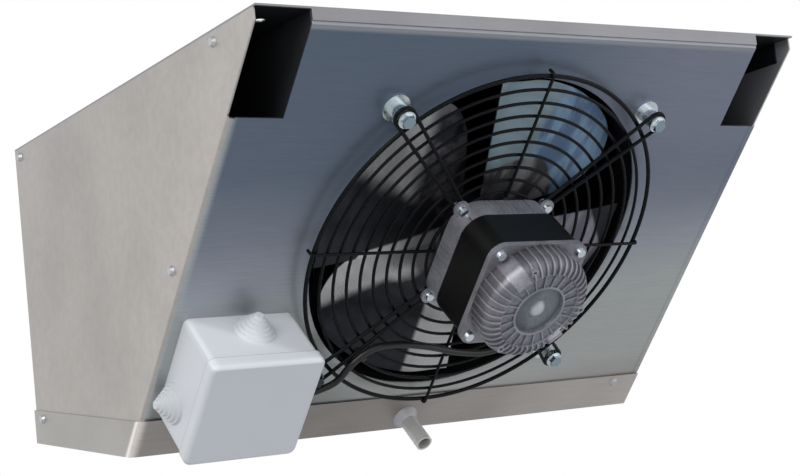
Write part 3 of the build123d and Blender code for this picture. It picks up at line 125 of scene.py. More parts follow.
class Finish:
    """A named surface: its shader, and the nodes that vary it over the piece."""

    def __init__(self, name, metallic=0.0, roughness=0.5, colour=(0.5, 0.5, 0.5), **fixed):
        self.material = bpy.data.materials.new(name)
        self.material.use_nodes = True
        self.tree = self.material.node_tree
        self.shader = self.tree.nodes["Principled BSDF"]
        self.shader.inputs["Metallic"].default_value = metallic
        self.shader.inputs["Roughness"].default_value = roughness
        self.shader.inputs["Base Color"].default_value = (*colour, 1)
        for socket, number in fixed.items():
            self.shader.inputs[socket.replace("_", " ")].default_value = number
        self.material.diffuse_color = (*colour, 1)
        self.place = self.node("ShaderNodeTexCoord", out=3)

    def node(self, kind, settings=None, values=None, out=0):
        """A node of a type, with its settings made first and then its sockets' values or links."""
        made = self.tree.nodes.new(kind)
        for name, setting in (settings or {}).items():
            if name == "stops":
                fill_ramp(made.color_ramp, setting)
            else:
                setattr(made, name, setting)
        for name, value in (values or {}).items():
            if isinstance(value, Value):
                self.tree.links.new(value.socket, made.inputs[name])
            else:
                made.inputs[name].default_value = value
        return Value(self, made.outputs[out])

    def axis(self, number):
        """One coordinate of the piece's place, 0 for X, 1 for Y and 2 for Z."""
        return self.node("ShaderNodeSeparateXYZ", values={0: self.place}, out=number)

    def noise(self, scale, stretch=(1, 1, 1), turn=(0, 0, 0), detail=3.0, seed=0.0):
        """Noise from 0 to 1 over the piece, stretched and turned as brushing or grain runs."""
        spread = self.node(
            "ShaderNodeMapping",
            values={
                "Vector": self.place,
                "Location": (seed,) * 3,
                "Rotation": turn,
                "Scale": stretch,
            },
        )
        return self.node(
            "ShaderNodeTexNoise", values={"Vector": spread, "Scale": scale, "Detail": detail}
        )

    def ramp(self, value, low, high, to_low=0.0, to_high=1.0):
        """Value carried smoothly from one range to another, and held at its ends."""
        return self.node(
            "ShaderNodeMapRange",
            {"interpolation_type": "SMOOTHSTEP"},
            {0: value, 1: low, 2: high, 3: to_low, 4: to_high},
        )

    def mix(self, factor, first, second):
        """First colour at factor 0, second at 1."""
        first = first if isinstance(first, Value) else (*first, 1)
        second = second if isinstance(second, Value) else (*second, 1)
        return self.node(
            "ShaderNodeMix", {"data_type": "RGBA"}, {0: factor, 6: first, 7: second}, out=2
        )

    def tint(self, factor, colour, by):
        """Colour times a second one, as far as a factor goes."""
        return self.node(
            "ShaderNodeMix",
            {"data_type": "RGBA", "blend_type": "MULTIPLY"},
            {0: factor, 6: colour, 7: by},
            out=2,
        )

    def shade(self, colour, by):
        """Colour made lighter or darker by a value, as much in each channel."""
        grey = self.node("ShaderNodeCombineXYZ", values={0: by, 1: by, 2: by})
        return self.tint(1.0, colour, grey)

    def set(self, **links):
        """Links values to the shader's own sockets."""
        for socket, value in links.items():
            self.tree.links.new(value.socket, self.shader.inputs[socket.replace("_", " ")])

    def bump(self, height, depth):
        """Relief from a height of 0 to 1, as deep as the depth in metres."""
        relief = self.node(
            "ShaderNodeBump", values={"Strength": 1.0, "Distance": depth, "Height": height}
        )
        self.set(Normal=relief)


def dress(finish, *names):
    """Gives CAD nodes their finish."""
    for name in names:
        for slot in frame["nodes"][name].material_slots:
            slot.material = finish.material


FAN_JOINT = next(j for j in frame["joints"] if j["name"] == "fan_spin")
FAN_CENTRE = np.array(FAN_JOINT["pos_m"])
FAN_OUT = np.array(FAN_JOINT["axis"]) / np.linalg.norm(FAN_JOINT["axis"])
FAN_UP = np.cross(FAN_OUT, (1, 0, 0))
SLOPE_ANGLE = float(np.arctan2(-FAN_OUT[2], -FAN_OUT[1]))
casing_low, casing_high = (np.array(corner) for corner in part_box("casing_wrap"))
CASING_HALF = float(casing_high[0])
CASING_FRONT = float(casing_low[1])
CASING_BACK = float(casing_high[1])
SHEET = 0.0015
SHEET_METALLIC = 0.85
LIP_HEIGHT = 0.0126
BEND_LINE = 0.0085
SIDE_TONE = (0.43, 0.405, 0.385)
SIDE_STAIN = (0.372, 0.35, 0.333)
# Painted highlight on the bend to the left side
LEFT_BEND_HIGHLIGHT = (0.42, 0.445, 0.455)
# Painted shade of the inner faces, and painted light inside by the right notch
SHADED_INSIDE = (0.028, 0.030, 0.034)
RIGHT_NOTCH_INSIDE_LIGHT = (0.58, 0.59, 0.64)
# Painted reflection at the front's upper right
UPPER_RIGHT_REFLECTION = (0.22, 0.238, 0.300)
# Painted highlight on the bend into the ceiling panel's band
TOP_BEND_HIGHLIGHT = (0.30, 0.31, 0.335)
KINK_UP = float(np.dot(np.array((0.0, CASING_FRONT, -LIP_HEIGHT)) - FAN_CENTRE, FAN_UP))
# Painted reflection and shade down the sloped front: its tones, with their place up from the
# fan's axis in metres
FRONT_REFLECTION_TONES = (
    (-0.240, (0.34, 0.315, 0.295)),
    (-0.222, (0.36, 0.34, 0.325)),
    (-0.175, (0.45, 0.455, 0.44)),
    (-0.085, (0.43, 0.45, 0.445)),
    (-0.042, (0.345, 0.366, 0.41)),
    (0.0, (0.245, 0.267, 0.315)),
    (0.06, (0.140, 0.172, 0.226)),
    (0.20, (0.125, 0.160, 0.214)),
)


def on_slope(finish, direction):
    """Place along a direction of the sloped front, in metres from the fan's axis at its face."""
    across = finish.axis(1) - float(FAN_CENTRE[1])
    rise = finish.axis(2) - float(FAN_CENTRE[2])
    return across * float(direction[1]) + rise * float(direction[2])


def brushed_front():
    """Brushed sheet: warm grey sides, a front painted blue grey at the top to light grey below
    as a reflection and shade, and an inner side painted black as shade, with painted light by
    the right notch."""
    sheet = Finish("brushed_casing_sheet", metallic=SHEET_METALLIC, roughness=0.42)
    x = sheet.axis(0)
    y = sheet.axis(1)
    up = on_slope(sheet, FAN_UP)
    level = on_slope(sheet, FAN_OUT)
    clouds = sheet.noise(7.0, (1, 1.4, 1.4), detail=3.0)
    low, high = FRONT_REFLECTION_TONES[0][0], FRONT_REFLECTION_TONES[-1][0]
    place = up + (clouds - 0.5) * 0.035 - sheet.ramp(x, 0.0, 0.2, 0.0, 0.035)
    tone = sheet.node(
        "ShaderNodeValToRGB",
        {"stops": [((at - low) / (high - low), colour) for at, colour in FRONT_REFLECTION_TONES]},
        {0: (place - low) / (high - low)},
    )
    # Painted reflection lighter towards the upper right, and painted shade darker at the lower left
    # beside the box
    upper_right_reflection_mask = sheet.ramp(x, -0.05, 0.17) * sheet.ramp(up, 0.02, 0.12)
    box_shade_lower_left = sheet.ramp(x, -0.02, -0.12) * sheet.ramp(up, -0.12, -0.17)
    tone = sheet.mix(upper_right_reflection_mask, tone, UPPER_RIGHT_REFLECTION)
    tone = sheet.shade(tone, 1.0 - box_shade_lower_left * 0.45)
    # Painted highlight on the bend into the ceiling panel's band
    tone = sheet.mix(sheet.ramp(up, KINK_UP - 0.0055, KINK_UP - 0.002), tone, TOP_BEND_HIGHLIGHT)
    stains = sheet.noise(9.0, detail=5.0, seed=3.0)
    side = sheet.mix(sheet.ramp(stains, 0.35, 0.75), SIDE_TONE, SIDE_STAIN)
    mottle = sheet.noise(110.0, detail=3.0, seed=4.0)
    # Painted light: the side lighter towards its front edge
    front_edge_light = sheet.ramp(level, -0.09, -0.01, 1.0, 1.12)
    side = sheet.shade(side, sheet.ramp(mottle, 0.3, 0.7, 0.96, 1.03) * front_edge_light)
    on_side = sheet.ramp(abs(x), CASING_HALF - 0.0035, CASING_HALF - 0.0005)
    # Painted highlight on the soft bend to the left side; on the right one, painted shade as a line
    # beside the edge
    left_bend_highlight_mask = sheet.ramp(x, 0.009 - CASING_HALF, 0.003 - CASING_HALF)
    tone = sheet.mix(left_bend_highlight_mask * 0.85, tone, LEFT_BEND_HIGHLIGHT)
    bend_line = sheet.ramp(abs(x - (CASING_HALF - BEND_LINE)), 0.0018, 0.0004)
    tone = sheet.shade(tone, 1.0 - bend_line * 0.16)
    tone = sheet.mix(on_side, tone, side)
    brush = sheet.noise(60.0, (0.6, 14, 14), detail=4.0)
    tone = sheet.shade(tone, sheet.ramp(brush, 0.25, 0.75, 0.94, 1.06))
    # Within the sheet's thickness from the nearest outer face it is outside, and else inside
    outside = level.or_more(abs(x) - CASING_HALF).or_more(CASING_FRONT - y).or_more(y - CASING_BACK)
    # Inner faces painted black as shade, and lighter by the right notch as painted light
    inside = sheet.mix(sheet.ramp(x, 0.225, 0.262), SHADED_INSIDE, RIGHT_NOTCH_INSIDE_LIGHT)
    tone = sheet.mix(sheet.ramp(outside, 0.00002 - SHEET, 0.00025 - SHEET), inside, tone)
    sheet.set(Base_Color=tone)
    sheet.set(Roughness=sheet.ramp(brush, 0.2, 0.8, 0.36, 0.48))
    sheet.bump(brush, 0.00006)
    return sheet


def plain_sheet(name, tone, stain, roughness=0.42):
    """The same sheet away from the front: one grey with faint stains and rolling lines."""
    sheet = Finish(name, metallic=SHEET_METALLIC, roughness=roughness)
    stains = sheet.noise(9.0, detail=5.0, seed=7.0)
    lines = sheet.noise(50.0, (0.5, 12, 12), detail=4.0)
    colour = sheet.mix(sheet.ramp(stains, 0.35, 0.75), tone, stain)
    colour = sheet.shade(colour, sheet.ramp(lines, 0.25, 0.75, 0.94, 1.06))
    sheet.set(Base_Color=colour)
    sheet.set(Roughness=sheet.ramp(lines, 0.2, 0.8, roughness - 0.06, roughness + 0.06))
    sheet.bump(lines, 0.00004)
    return sheet, colour


dress(brushed_front(), "casing_wrap")
tray_sheet, tray_tone = plain_sheet("tray_sheet", (0.42, 0.405, 0.39), (0.36, 0.345, 0.33))
# Its wall under the fan is painted lighter at the right and in painted shade where the box keeps
# the light off, and the folded left corner has a painted highlight
tray_x = tray_sheet.axis(0)
tray_level = on_slope(tray_sheet, FAN_OUT)
tray_front = tray_sheet.ramp(tray_level, -0.006, 0.0)
tray_wall_shade = tray_sheet.ramp(tray_x, -0.19, -0.13, -0.14, -0.25)
tray_middle_light = tray_sheet.ramp(tray_x, -0.03, 0.05) * tray_sheet.ramp(tray_x, 0.16, 0.08)
tray_right_light = tray_sheet.ramp(tray_x, 0.07, 0.19, 0.0, 0.55)
# Painted highlight on the folded left corner
tray_corner_highlight = tray_sheet.ramp(tray_x, -0.258, -0.269) * tray_sheet.ramp(tray_level, -0.009, -0.004)
tray_shade = tray_front * (tray_wall_shade + tray_right_light + tray_middle_light * 0.16) + tray_corner_highlight * 1.5
tray_warm = tray_sheet.tint(tray_front, tray_tone, (1.04, 0.99, 0.965, 1))
tray_sheet.set(Base_Color=tray_sheet.shade(tray_warm, tray_shade + 1.0))
dress(tray_sheet, "drip_tray")
# The spigot is blasted after welding: a light grey tube, on a cone painted slightly bluish as a
# painted reflection
CONE_TOP = 0.0085
spigot = Finish("blasted_spigot", metallic=0.4, roughness=0.5)
tube_tone = spigot.mix(spigot.noise(250.0, detail=3.0), (0.52, 0.52, 0.50), (0.64, 0.64, 0.62))
on_cone = spigot.ramp(on_slope(spigot, FAN_OUT), CONE_TOP + 0.002, CONE_TOP - 0.002)
spigot.set(Base_Color=spigot.mix(on_cone, tube_tone, (0.44, 0.44, 0.47)))
dress(spigot, "drain_spigot")
ceiling_sheet, ceiling_tone = plain_sheet(
    "ceiling_sheet", (0.29, 0.288, 0.305), (0.26, 0.258, 0.275)
)
# Painted black shade below, on the panel's underside over the fan
outer_edge = (
    ceiling_sheet.axis(2)
    .or_more(CASING_FRONT - ceiling_sheet.axis(1))
    .or_more(abs(ceiling_sheet.axis(0)) - CASING_HALF)
)
ceiling_sheet.set(
    Base_Color=ceiling_sheet.mix(
        ceiling_sheet.ramp(outer_edge, -0.0013, -0.0002), SHADED_INSIDE, ceiling_tone
    )
)
dress(ceiling_sheet, "top_panel")
dress(
    plain_sheet("coil_end_sheet", (0.30, 0.30, 0.30), (0.22, 0.22, 0.22), 0.5)[0],
    "coil_end_plate_left",
    "coil_end_plate_right",
)
# Painted shade: baffles and brackets near black, as the rooms behind the notches are in shade
dress(
    plain_sheet("shaded_inner_sheet", (0.075, 0.08, 0.09), (0.05, 0.053, 0.06), 0.6)[0],
    "air_baffle_left",
    "air_baffle_right",
    "baffle_brackets",
)

# Coil: thin rippled aluminium fins pressed on copper tubes. The solids hold a block with coarse
# fins, which this pack of single thin fins replaces.
FIN_PITCH = 0.0035
FIN_THICK = 0.0003
FIN_RIPPLE = 0.0006
FIN_RIPPLE_LENGTH = 0.0133
FIN_STEPS = 25
FIN_MARGIN = 0.002
fin_low, fin_high = (np.array(corner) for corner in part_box("coil_fins"))


def fin_pack():
    """Points of all fins: X is the fin's place plus a sine ripple along Y, plus or minus half the
    thickness; Y runs over the depth and Z is the bottom or the top. Returns points and quads."""
    count = int((fin_high[0] - fin_low[0] - FIN_MARGIN) / FIN_PITCH) + 1
    places = (fin_low[0] + fin_high[0]) / 2 + (np.arange(count) - (count - 1) / 2) * FIN_PITCH
    depth = np.linspace(fin_low[1], fin_high[1], FIN_STEPS)
    ripple = FIN_RIPPLE * np.sin(2 * np.pi * (depth - fin_low[1]) / FIN_RIPPLE_LENGTH)
    # Axes of the grid: fin, face (left or right), step of depth, bottom or top
    grid = np.zeros((count, 2, FIN_STEPS, 2, 3))
    sides = np.array([-0.5, 0.5]) * FIN_THICK
    middle = places[:, None, None, None] + ripple[None, None, :, None]
    grid[..., 0] = middle + sides[None, :, None, None]
    grid[..., 1] = depth[None, None, :, None]
    grid[..., 2] = np.array([fin_low[2], fin_high[2]])
    index = np.arange(grid[..., 0].size).reshape(grid.shape[:4])
    left, right = index[:, 0], index[:, 1]
    walls = [
        np.stack([left[:, :-1, 0], left[:, :-1, 1], left[:, 1:, 1], left[:, 1:, 0]], -1),
        np.stack([right[:, :-1, 0], right[:, 1:, 0], right[:, 1:, 1], right[:, :-1, 1]], -1),
        np.stack([left[:, :-1, 0], left[:, 1:, 0], right[:, 1:, 0], right[:, :-1, 0]], -1),
        np.stack([left[:, :-1, 1], right[:, :-1, 1], right[:, 1:, 1], left[:, 1:, 1]], -1),
        np.stack([left[:, :1, 0], right[:, :1, 0], right[:, :1, 1], left[:, :1, 1]], -1),
        np.stack([left[:, -1:, 0], left[:, -1:, 1], right[:, -1:, 1], right[:, -1:, 0]], -1),
    ]
    quads = np.concatenate([wall.reshape(-1, 4) for wall in walls])
    return grid.reshape(-1, 3), quads


fin_foil = Finish("fin_foil", metallic=0.8, roughness=0.45)
foil_dust = fin_foil.noise(30.0, (1, 1, 0.4), detail=4.0)
fin_foil.set(Base_Color=fin_foil.mix(foil_dust, (0.20, 0.205, 0.21), (0.34, 0.345, 0.35)))
fin_points, fin_quads = fin_pack()
fin_mesh = bpy.data.meshes.new("coil_fin_foils")
fin_mesh.from_pydata(fin_points.tolist(), [], fin_quads.tolist())
fin_mesh.materials.append(fin_foil.material)
fin_mesh.update()
fins = bpy.data.objects.new("coil_fin_foils", fin_mesh)
bpy.context.collection.objects.link(fins)
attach(fins, "housing")
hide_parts("coil_fins")
copper = Finish("drawn_copper", metallic=1.0, roughness=0.35)
tarnish = copper.noise(40.0, detail=4.0)
copper.set(Base_Color=copper.mix(tarnish, (0.72, 0.36, 0.20), (0.50, 0.23, 0.12)))
copper.set(Roughness=copper.ramp(tarnish, 0.3, 0.8, 0.28, 0.5))
dress(copper, "coil_tubes", "return_bends", "liquid_pipe", "suction_pipe")

# Bellmouth ring, wire guard and motor arms: steel, welded where wires cross and painted black
# with a soft gloss.


def dark_coat(name, low, high, roughness, sheen, grain):
    """Black paint, rubber or plastic: two near blacks in a fine grain that also roughens it."""
    coat = Finish(name, roughness=roughness, colour=low, Specular_IOR_Level=sheen)
    speck = coat.noise(grain, detail=3.0)
    coat.set(Base_Color=coat.mix(speck, low, high))
    coat.set(Roughness=coat.ramp(speck, 0.3, 0.7, roughness - 0.06, roughness + 0.08))
    coat.bump(speck, 0.00003)
    return coat


dress(
    dark_coat(
        "black_wire_paint", (0.002, 0.0023, 0.003), (0.005, 0.0055, 0.0065), 0.3, 0.11, 400.0
    ),
    "fan_guard",
    "motor_arms",
)
dress(
    dark_coat("bellmouth_paint", (0.002, 0.002, 0.002), (0.004, 0.004, 0.004), 0.6, 0.12, 300.0),
    "fan_ring",
)

# Screws, bolts, washers, spacers and nuts: steel with bright, slightly bluish zinc. The end faces
# of the guard bolts' heads are painted darker as a reflection, and the bolt beside the box is
# painted dark as the box's shadow.
BOLT_FACE = 0.0226
zinc = Finish("bright_zinc", metallic=1.0, roughness=0.25)
spangle = zinc.noise(220.0, detail=2.0)
bright = zinc.mix(spangle, (0.60, 0.67, 0.70), (0.76, 0.81, 0.83))
# Painted reflection, darker, on the end faces of the guard bolts' heads
head_level = on_slope(zinc, FAN_OUT) - BOLT_FACE
head_face_reflection = zinc.ramp(head_level, -0.0003, -0.0001) * zinc.ramp(head_level, 0.002, 0.001)
bright = zinc.mix(head_face_reflection, bright, (0.30, 0.38, 0.43))
# Painted shadow of the box on the bolt beside it
box_shadow_on_bolt = zinc.ramp(zinc.axis(0), -0.09, -0.11)
box_shadow_on_bolt = box_shadow_on_bolt * zinc.ramp(on_slope(zinc, FAN_UP), -0.09, -0.11)
zinc.set(Base_Color=zinc.shade(bright, 1.0 - box_shadow_on_bolt * 0.85))
zinc.set(Roughness=zinc.ramp(spangle, 0.3, 0.7, 0.2, 0.3))
dress(
    zinc,
    "arm_nuts",
    "arm_screws",
    "box_screws",
    "fan_nut",
    "guard_bolts",
    "guard_nuts",
    "guard_spacers",
    "guard_washers",
    "motor_screws",
    "terminal_screws",
)
sheet_screw = Finish("sheet_screw_zinc", metallic=0.9, roughness=0.42)
screw_haze = sheet_screw.noise(300.0, detail=2.0)
sheet_screw.set(Base_Color=sheet_screw.mix(screw_haze, (0.44, 0.45, 0.45), (0.56, 0.57, 0.58)))
sheet_screw.set(Roughness=sheet_screw.ramp(screw_haze, 0.3, 0.7, 0.36, 0.48))
dress(sheet_screw, "side_screws", "tray_screws")

# Motor: die-cast aluminium shields with a fine as-cast skin, bolted through a stack of
# laminations that is painted black; shaft, rotor, bushes and windings show only inside.
DOME_FOOT = 0.077
FACE_FLOOR = 0.0996
FACE_RADIUS = 0.037
RECESS_RADIUS = 0.0215
NOSE_RADIUS = 0.008
SHOULDER_LEVEL = 0.090
SHOULDER_RADIUS = 0.0368
SHOULDER_ROUND = 0.011
RIB_PROUD = 0.0017


def cast_skin(name, tone, worn):
    """Die-cast aluminium: lilac grey with lighter worn places, and the grain of the mould."""
    cast = Finish(name, metallic=0.6, roughness=0.42)
    grain = cast.noise(900.0, detail=4.0)
    clouds = cast.noise(70.0, detail=3.0, seed=5.0)
    colour = cast.mix(cast.ramp(clouds, 0.3, 0.7), tone, worn)
    colour = cast.shade(colour, cast.ramp(grain, 0.25, 0.75, 0.88, 1.12))
    cast.set(Base_Color=colour)
    cast.set(Roughness=cast.ramp(grain, 0.3, 0.7, 0.34, 0.5))
    cast.bump(grain, 0.00012)
    return cast, colour


dress(
    cast_skin("rear_cast_skin", (0.25, 0.255, 0.29), (0.345, 0.345, 0.38))[0], "motor_rear_shield"
)
front_cast, front_tone = cast_skin("front_cast_skin", (0.255, 0.255, 0.285), (0.35, 0.345, 0.38))
radius = (front_cast.axis(0) ** 2.0 + on_slope(front_cast, FAN_UP) ** 2.0) ** 0.5
level = on_slope(front_cast, FAN_OUT)
# Painted shade: the face between its ribs, the recess and the foot of the dome are a darker blue
# grey
on_face = front_cast.ramp(radius, FACE_RADIUS, FACE_RADIUS - 0.0015)
sunk_face_shade = on_face * front_cast.ramp(level, FACE_FLOOR + 0.0011, FACE_FLOOR + 0.0003)
speckle = front_cast.ramp(front_cast.noise(420.0, detail=3.0, seed=9.0), 0.35, 0.65)
face_shade_tone = front_cast.mix(speckle, (0.13, 0.143, 0.17), (0.23, 0.243, 0.275))
shaded = front_cast.mix(sunk_face_shade * 0.7, front_tone, face_shade_tone)
shaded = front_cast.shade(shaded, 1.0 - on_face * 0.08)
recess = front_cast.ramp(radius, RECESS_RADIUS + 0.0005, RECESS_RADIUS - 0.0005)
recess_wall_shade = recess * front_cast.ramp(radius, NOSE_RADIUS, RECESS_RADIUS, 0.35, 1.0)
# Painted shadow in the recess left of the nose
nose_shadow = front_cast.ramp(front_cast.axis(0), -0.001, -0.006)
recess_shade_tone = front_cast.mix(nose_shadow, (0.155, 0.17, 0.195), (0.07, 0.08, 0.10))
shaded = front_cast.mix(recess_wall_shade * 0.8, shaded, recess_shade_tone)
# Painted highlight on the nose
nose = front_cast.ramp(radius, NOSE_RADIUS * 1.1, NOSE_RADIUS * 0.5)
shaded = front_cast.mix(nose, shaded, (0.50, 0.52, 0.56))
# Painted shade in the grooves between the ribs: how far a place stands out from the dome and its
# shoulder
past_side = (radius - SHOULDER_RADIUS).or_more(0.0)
past_top = (level - SHOULDER_LEVEL).or_more(0.0)
proud = (past_side ** 2.0 + past_top ** 2.0) ** 0.5 - SHOULDER_ROUND
groove_shade = front_cast.ramp(proud, RIB_PROUD * 0.75, 0.0) * front_cast.ramp(radius, 0.0355, 0.037)
shaded = front_cast.shade(shaded, 1.0 - groove_shade * 0.38)
# Painted shade at the foot of the dome
dome_foot = front_cast.ramp(level, SHOULDER_LEVEL, DOME_FOOT)
dome_foot = dome_foot * front_cast.ramp(level, DOME_FOOT - 0.0005, DOME_FOOT + 0.0005)
front_cast.set(Base_Color=front_cast.shade(shaded, 1.0 - dome_foot * 0.4))
dress(front_cast, "motor_front_shield")
stack_paint = Finish(
    "lamination_paint", roughness=0.34, colour=(0.004, 0.004, 0.004), Specular_IOR_Level=0.3
)
layers = stack_paint.node(
    "ShaderNodeTexWave",
    {"wave_type": "BANDS", "bands_direction": "Y"},
    {
        "Vector": stack_paint.node(
            "ShaderNodeMapping",
            values={"Vector": stack_paint.place, "Rotation": (-SLOPE_ANGLE, 0, 0)},
        ),
        "Scale": 300.0,
        "Distortion": 1.0,
    },
    out=1,
)
stack_paint.set(Base_Color=stack_paint.mix(layers, (0.003, 0.003, 0.003), (0.006, 0.006, 0.006)))
stack_paint.bump(layers, 0.00005)
dress(stack_paint, "motor_stator")


def plain_metal(name, dull, bright, roughness, grain):
    """A metal of two tones in a fine grain, for pieces that show little."""
    metal = Finish(name, metallic=1.0, roughness=roughness)
    speck = metal.noise(grain, detail=3.0)
    metal.set(Base_Color=metal.mix(speck, dull, bright))
    metal.set(Roughness=metal.ramp(speck, 0.3, 0.7, roughness - 0.08, roughness + 0.08))
    return metal


dress(
    plain_metal("winding_varnish", (0.25, 0.08, 0.03), (0.42, 0.16, 0.07), 0.4, 900.0),
    "motor_windings",
)
dress(
    plain_metal("sintered_bronze", (0.38, 0.25, 0.11), (0.52, 0.36, 0.18), 0.5, 1500.0),
    "shaft_bushes",
)
dress(
    plain_metal("ground_steel", (0.42, 0.42, 0.43), (0.58, 0.58, 0.58), 0.3, 700.0),
    "rotor_core",
    "rotor_shaft",
)

# Impeller: four wide pressed aluminium blades, smooth and bright, on a black hub. At rest each
# mirrors another part of the room, painted on it as a reflection in tones of its own, placed round
# the fan's axis.
FULL_TURN = 360.0
BLADE_COUNT = 4
BLADE_LEAD = 101.0
SKY_REFLECTION_TURN = 60.0
blade_metal = Finish("rolled_blade_aluminium", metallic=0.7, roughness=0.3)
across = blade_metal.axis(0)
rise = on_slope(blade_metal, FAN_UP)
turn = rise.worked("ARCTAN2", rise, across) * (180 / np.pi)
# Share of the way from a blade's leading edge to the next blade's
blades_behind = (turn * -1.0 + BLADE_LEAD + FULL_TURN) / (FULL_TURN / BLADE_COUNT)
behind = blades_behind.worked("FRACT", blades_behind)
from_axis = (across ** 2.0 + rise ** 2.0) ** 0.5
clouds = blade_metal.noise(38.0, (1, 1, 1), detail=3.0)
streaks = blade_metal.noise(30.0, (2.2, 0.6, 0.6), (0, 0.6, 0), detail=3.0, seed=2.0)
# The left blades are painted near black as a reflection, with a painted highlight as a bright
# slanting band and a bright patch at the bottom
unsure = (clouds - 0.5) * 0.02
band = blade_metal.ramp(rise - across * 0.45 + unsure, -0.032, -0.019)
outer_end = (across * -1.0 - 0.106).or_more(0.0) * 1.3
band = band * blade_metal.ramp(across * 0.298 - rise - outer_end, -0.018, -0.015)
band = band * blade_metal.ramp(across, -0.02, -0.03)
patch = blade_metal.ramp(across, -0.021, -0.016) * blade_metal.ramp(rise, -0.065, -0.075)
patch = patch * blade_metal.ramp(turn, -74.0, -77.0)
# The upper left blade has a painted highlight towards its tip, and painted clouds of reflection
# behind the arm
upper_left = blade_metal.ramp(behind + unsure * 4.0, 0.34, 0.45)
upper_left = upper_left * blade_metal.ramp(rise, 0.0, 0.01)
tip_highlight = upper_left * blade_metal.ramp(across + unsure, -0.060, -0.078)
blade_reflection = blade_metal.mix(clouds, (0.011, 0.012, 0.016), (0.040, 0.040, 0.048))
clouded = upper_left * blade_metal.ramp(clouds, 0.42, 0.66)
blade_reflection = blade_metal.mix(clouded, blade_reflection, (0.17, 0.165, 0.185))
lit = band.or_more(patch).or_more(tip_highlight * 0.8)
blade_reflection = blade_metal.mix(lit, blade_reflection, (0.64, 0.635, 0.635))
# The blade at the right is painted lilac grey beside the motor, a painted reflection
beside_motor = blade_metal.ramp(turn, -76.0, -74.0) * blade_metal.ramp(turn, 13.0, 11.5)
beside_motor = beside_motor * blade_metal.ramp(across + rise * 0.738, 0.138, 0.134)
lilac_streaks = blade_metal.ramp(streaks, 0.35, 0.65)
lilac = blade_metal.mix(lilac_streaks, (0.17, 0.165, 0.20), (0.36, 0.345, 0.40))
blade_reflection = blade_metal.mix(beside_motor, blade_reflection, lilac)
# The upper right blade is painted with the reflection of a blue sky: grey green by its leading
# edge, then blue with slanting streaks, and dark with light streaks by the hub
blue_streaks = blade_metal.ramp(streaks, 0.38, 0.60)
blue = blade_metal.mix(blue_streaks, (0.12, 0.20, 0.34), (0.28, 0.44, 0.62))
from_edge = behind - (0.11 - from_axis).or_more(0.0) * 3.0
sky_reflection = blade_metal.mix(blade_metal.ramp(from_edge, 0.29, 0.34), (0.27, 0.36, 0.41), blue)
by_hub = blade_metal.ramp(from_axis - behind * 0.05, 0.062, 0.058)
by_hub = by_hub * blade_metal.ramp(from_axis, 0.088, 0.085)
hub_streaks = blade_metal.ramp(streaks, 0.40, 0.62)
hub_reflection = blade_metal.mix(hub_streaks, (0.05, 0.05, 0.055), (0.30, 0.29, 0.30))
sky_reflection = blade_metal.mix(by_hub, sky_reflection, hub_reflection)
in_sky_reflection = blade_metal.ramp(abs(turn - SKY_REFLECTION_TURN), 47.0, 44.0)
blade_metal.set(Base_Color=blade_metal.mix(in_sky_reflection, blade_reflection, sky_reflection))
rolling = blade_metal.noise(14.0, (6, 1, 1), detail=2.0)
blade_metal.set(Roughness=blade_metal.ramp(rolling, 0.3, 0.7, 0.27, 0.35))
dress(blade_metal, "impeller_blades")
dress(
    dark_coat("hub_paint", (0.005, 0.005, 0.005), (0.011, 0.011, 0.012), 0.42, 0.3, 400.0),
    "impeller_hub",
)

# Junction box: pale grey moulded plastic with a press-on lid and soft stepped cable grommets.
BOX_SIDE = 0.0475
LID_EDGE = 0.0500
box_low, box_high = (np.array(corner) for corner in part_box("junction_box_lid"))
box_centre_x = float(box_low[0] + box_high[0]) / 2
box_centre_up = float(np.dot((box_low + box_high) / 2 - FAN_CENTRE, FAN_UP))


def box_skin(name, tone, light, roughness, depth):
    """Moulded grey plastic or rubber, with painted light on the side that faces up the slope, and
    painted shade in the seam where the lid meets the base."""
    skin = Finish(name, roughness=roughness, Specular_IOR_Level=0.4)
    grain = skin.noise(700.0, detail=3.0)
    clouds = skin.noise(12.0, detail=2.0)
    # Painted light on the side that faces up the slope
    upper = skin.ramp(on_slope(skin, FAN_UP) - box_centre_up, BOX_SIDE - 0.002, BOX_SIDE, 1.0, 1.22)
    level = on_slope(skin, FAN_OUT)
    # Painted shade in the seam where the lid meets the base
    seam = skin.ramp(abs(level - LID_EDGE), 0.0004, 0.0012, 0.62, 1.0)
    # Painted shade on the far half of the upper side, where the guard keeps some light off
    past_diagonal = (skin.axis(0) - box_centre_x) * 0.6 - (level - LID_EDGE * 0.6)
    far_half_shade = skin.ramp(past_diagonal, -0.006, 0.006)
    upper_light_and_shade = (0.06 - far_half_shade * 0.18) * skin.ramp(upper, 1.1, 1.2) + 1.0
    skin.set(Base_Color=skin.shade(skin.mix(clouds, tone, light), upper * seam * upper_light_and_shade))
    skin.set(Roughness=skin.ramp(grain, 0.3, 0.7, roughness - 0.04, roughness + 0.08))
    skin.bump(grain, depth)
    return skin


dress(
    box_skin("box_plastic", (0.52, 0.54, 0.575), (0.56, 0.58, 0.61), 0.38, 0.00005),
    "junction_box_base",
    "junction_box_lid",
)
dress(
    box_skin("grommet_rubber", (0.50, 0.52, 0.55), (0.56, 0.58, 0.605), 0.5, 0.0001),
    "cable_grommets",
)
dress(
    box_skin("terminal_plastic", (0.62, 0.61, 0.57), (0.70, 0.69, 0.64), 0.5, 0.00005),
    "terminal_block",
)

# Motor lead with its gland and tie, and the pipes' grommets: black rubber and nylon.
dress(
    dark_coat("lead_jacket", (0.005, 0.005, 0.005), (0.012, 0.012, 0.012), 0.34, 0.4, 500.0),
    "motor_cable",
    "cable_gland",
    "cable_tie",
    "pipe_grommets",
)

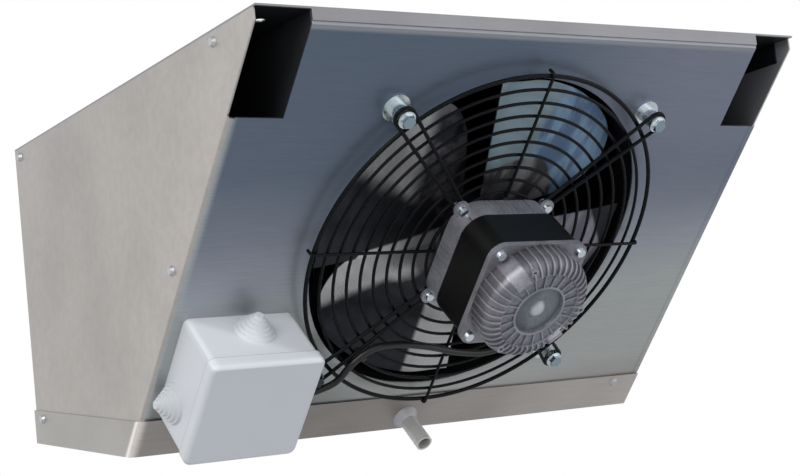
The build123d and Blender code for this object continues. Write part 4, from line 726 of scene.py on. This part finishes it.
# Studio: pale floor well below the hanging unit, a white horizon and two soft lamps.
FLOOR_HEIGHT = -1.45
FLOOR_HALF = 7.0
floor_mesh = bpy.data.meshes.new("studio_floor")
floor_corners = np.array([[-1, -1], [1, -1], [1, 1], [-1, 1]]) * FLOOR_HALF
floor_mesh.from_pydata([(x, y, FLOOR_HEIGHT) for x, y in floor_corners], [], [(0, 1, 2, 3)])
studio_floor = bpy.data.objects.new("studio_floor", floor_mesh)
bpy.context.collection.objects.link(studio_floor)
floor_paint = Finish("studio_floor_paint", roughness=0.9, colour=(0.72, 0.72, 0.71))
floor_mesh.materials.append(floor_paint.material)

# Tones of the surroundings from straight down, at 0, to straight up, at 1
SKY_STOPS = (
    (0.0, (0.35, 0.36, 0.38)),
    (0.36, (0.60, 0.61, 0.62)),
    (0.46, (1.0, 1.0, 1.0)),
    (0.68, (1.0, 1.0, 1.0)),
    (0.80, (0.60, 0.63, 0.68)),
    (1.0, (0.50, 0.54, 0.60)),
)
world = bpy.data.worlds.new("studio")
world.use_nodes = True
bpy.context.scene.world = world
sky = world.node_tree
sky_way = sky.nodes.new("ShaderNodeTexCoord")
sky_parts = sky.nodes.new("ShaderNodeSeparateXYZ")
sky_range = sky.nodes.new("ShaderNodeMapRange")
sky_range.inputs[1].default_value = -1.0
sky_ramp = sky.nodes.new("ShaderNodeValToRGB")
fill_ramp(sky_ramp.color_ramp, SKY_STOPS)
sky.links.new(sky_way.outputs["Generated"], sky_parts.inputs[0])
sky.links.new(sky_parts.outputs[2], sky_range.inputs[0])
sky.links.new(sky_range.outputs[0], sky_ramp.inputs[0])
sky.links.new(sky_ramp.outputs[0], sky.nodes["Background"].inputs[0])


def soft_lamp(name, place, aim, size, power, colour):
    """A square lamp of a size at a place, turned towards what it lights."""
    data = bpy.data.lights.new(name, "AREA")
    data.size = size
    data.energy = power
    data.color = colour
    lamp = bpy.data.objects.new(name, data)
    lamp.location = place
    lamp.rotation_euler = (Vector(aim) - Vector(place)).to_track_quat("-Z", "Y").to_euler()
    bpy.context.collection.objects.link(lamp)


soft_lamp("key_lamp", (-2.2, -1.3, 0.9), (0, 0, -0.15), 1.2, 30.0, (1.0, 0.98, 0.95))
soft_lamp("fill_lamp", (1.6, -2.2, -0.6), (0, -0.1, -0.15), 2.6, 12.0, (0.95, 0.98, 1.0))
bpy.context.scene.view_settings.view_transform = "Standard"
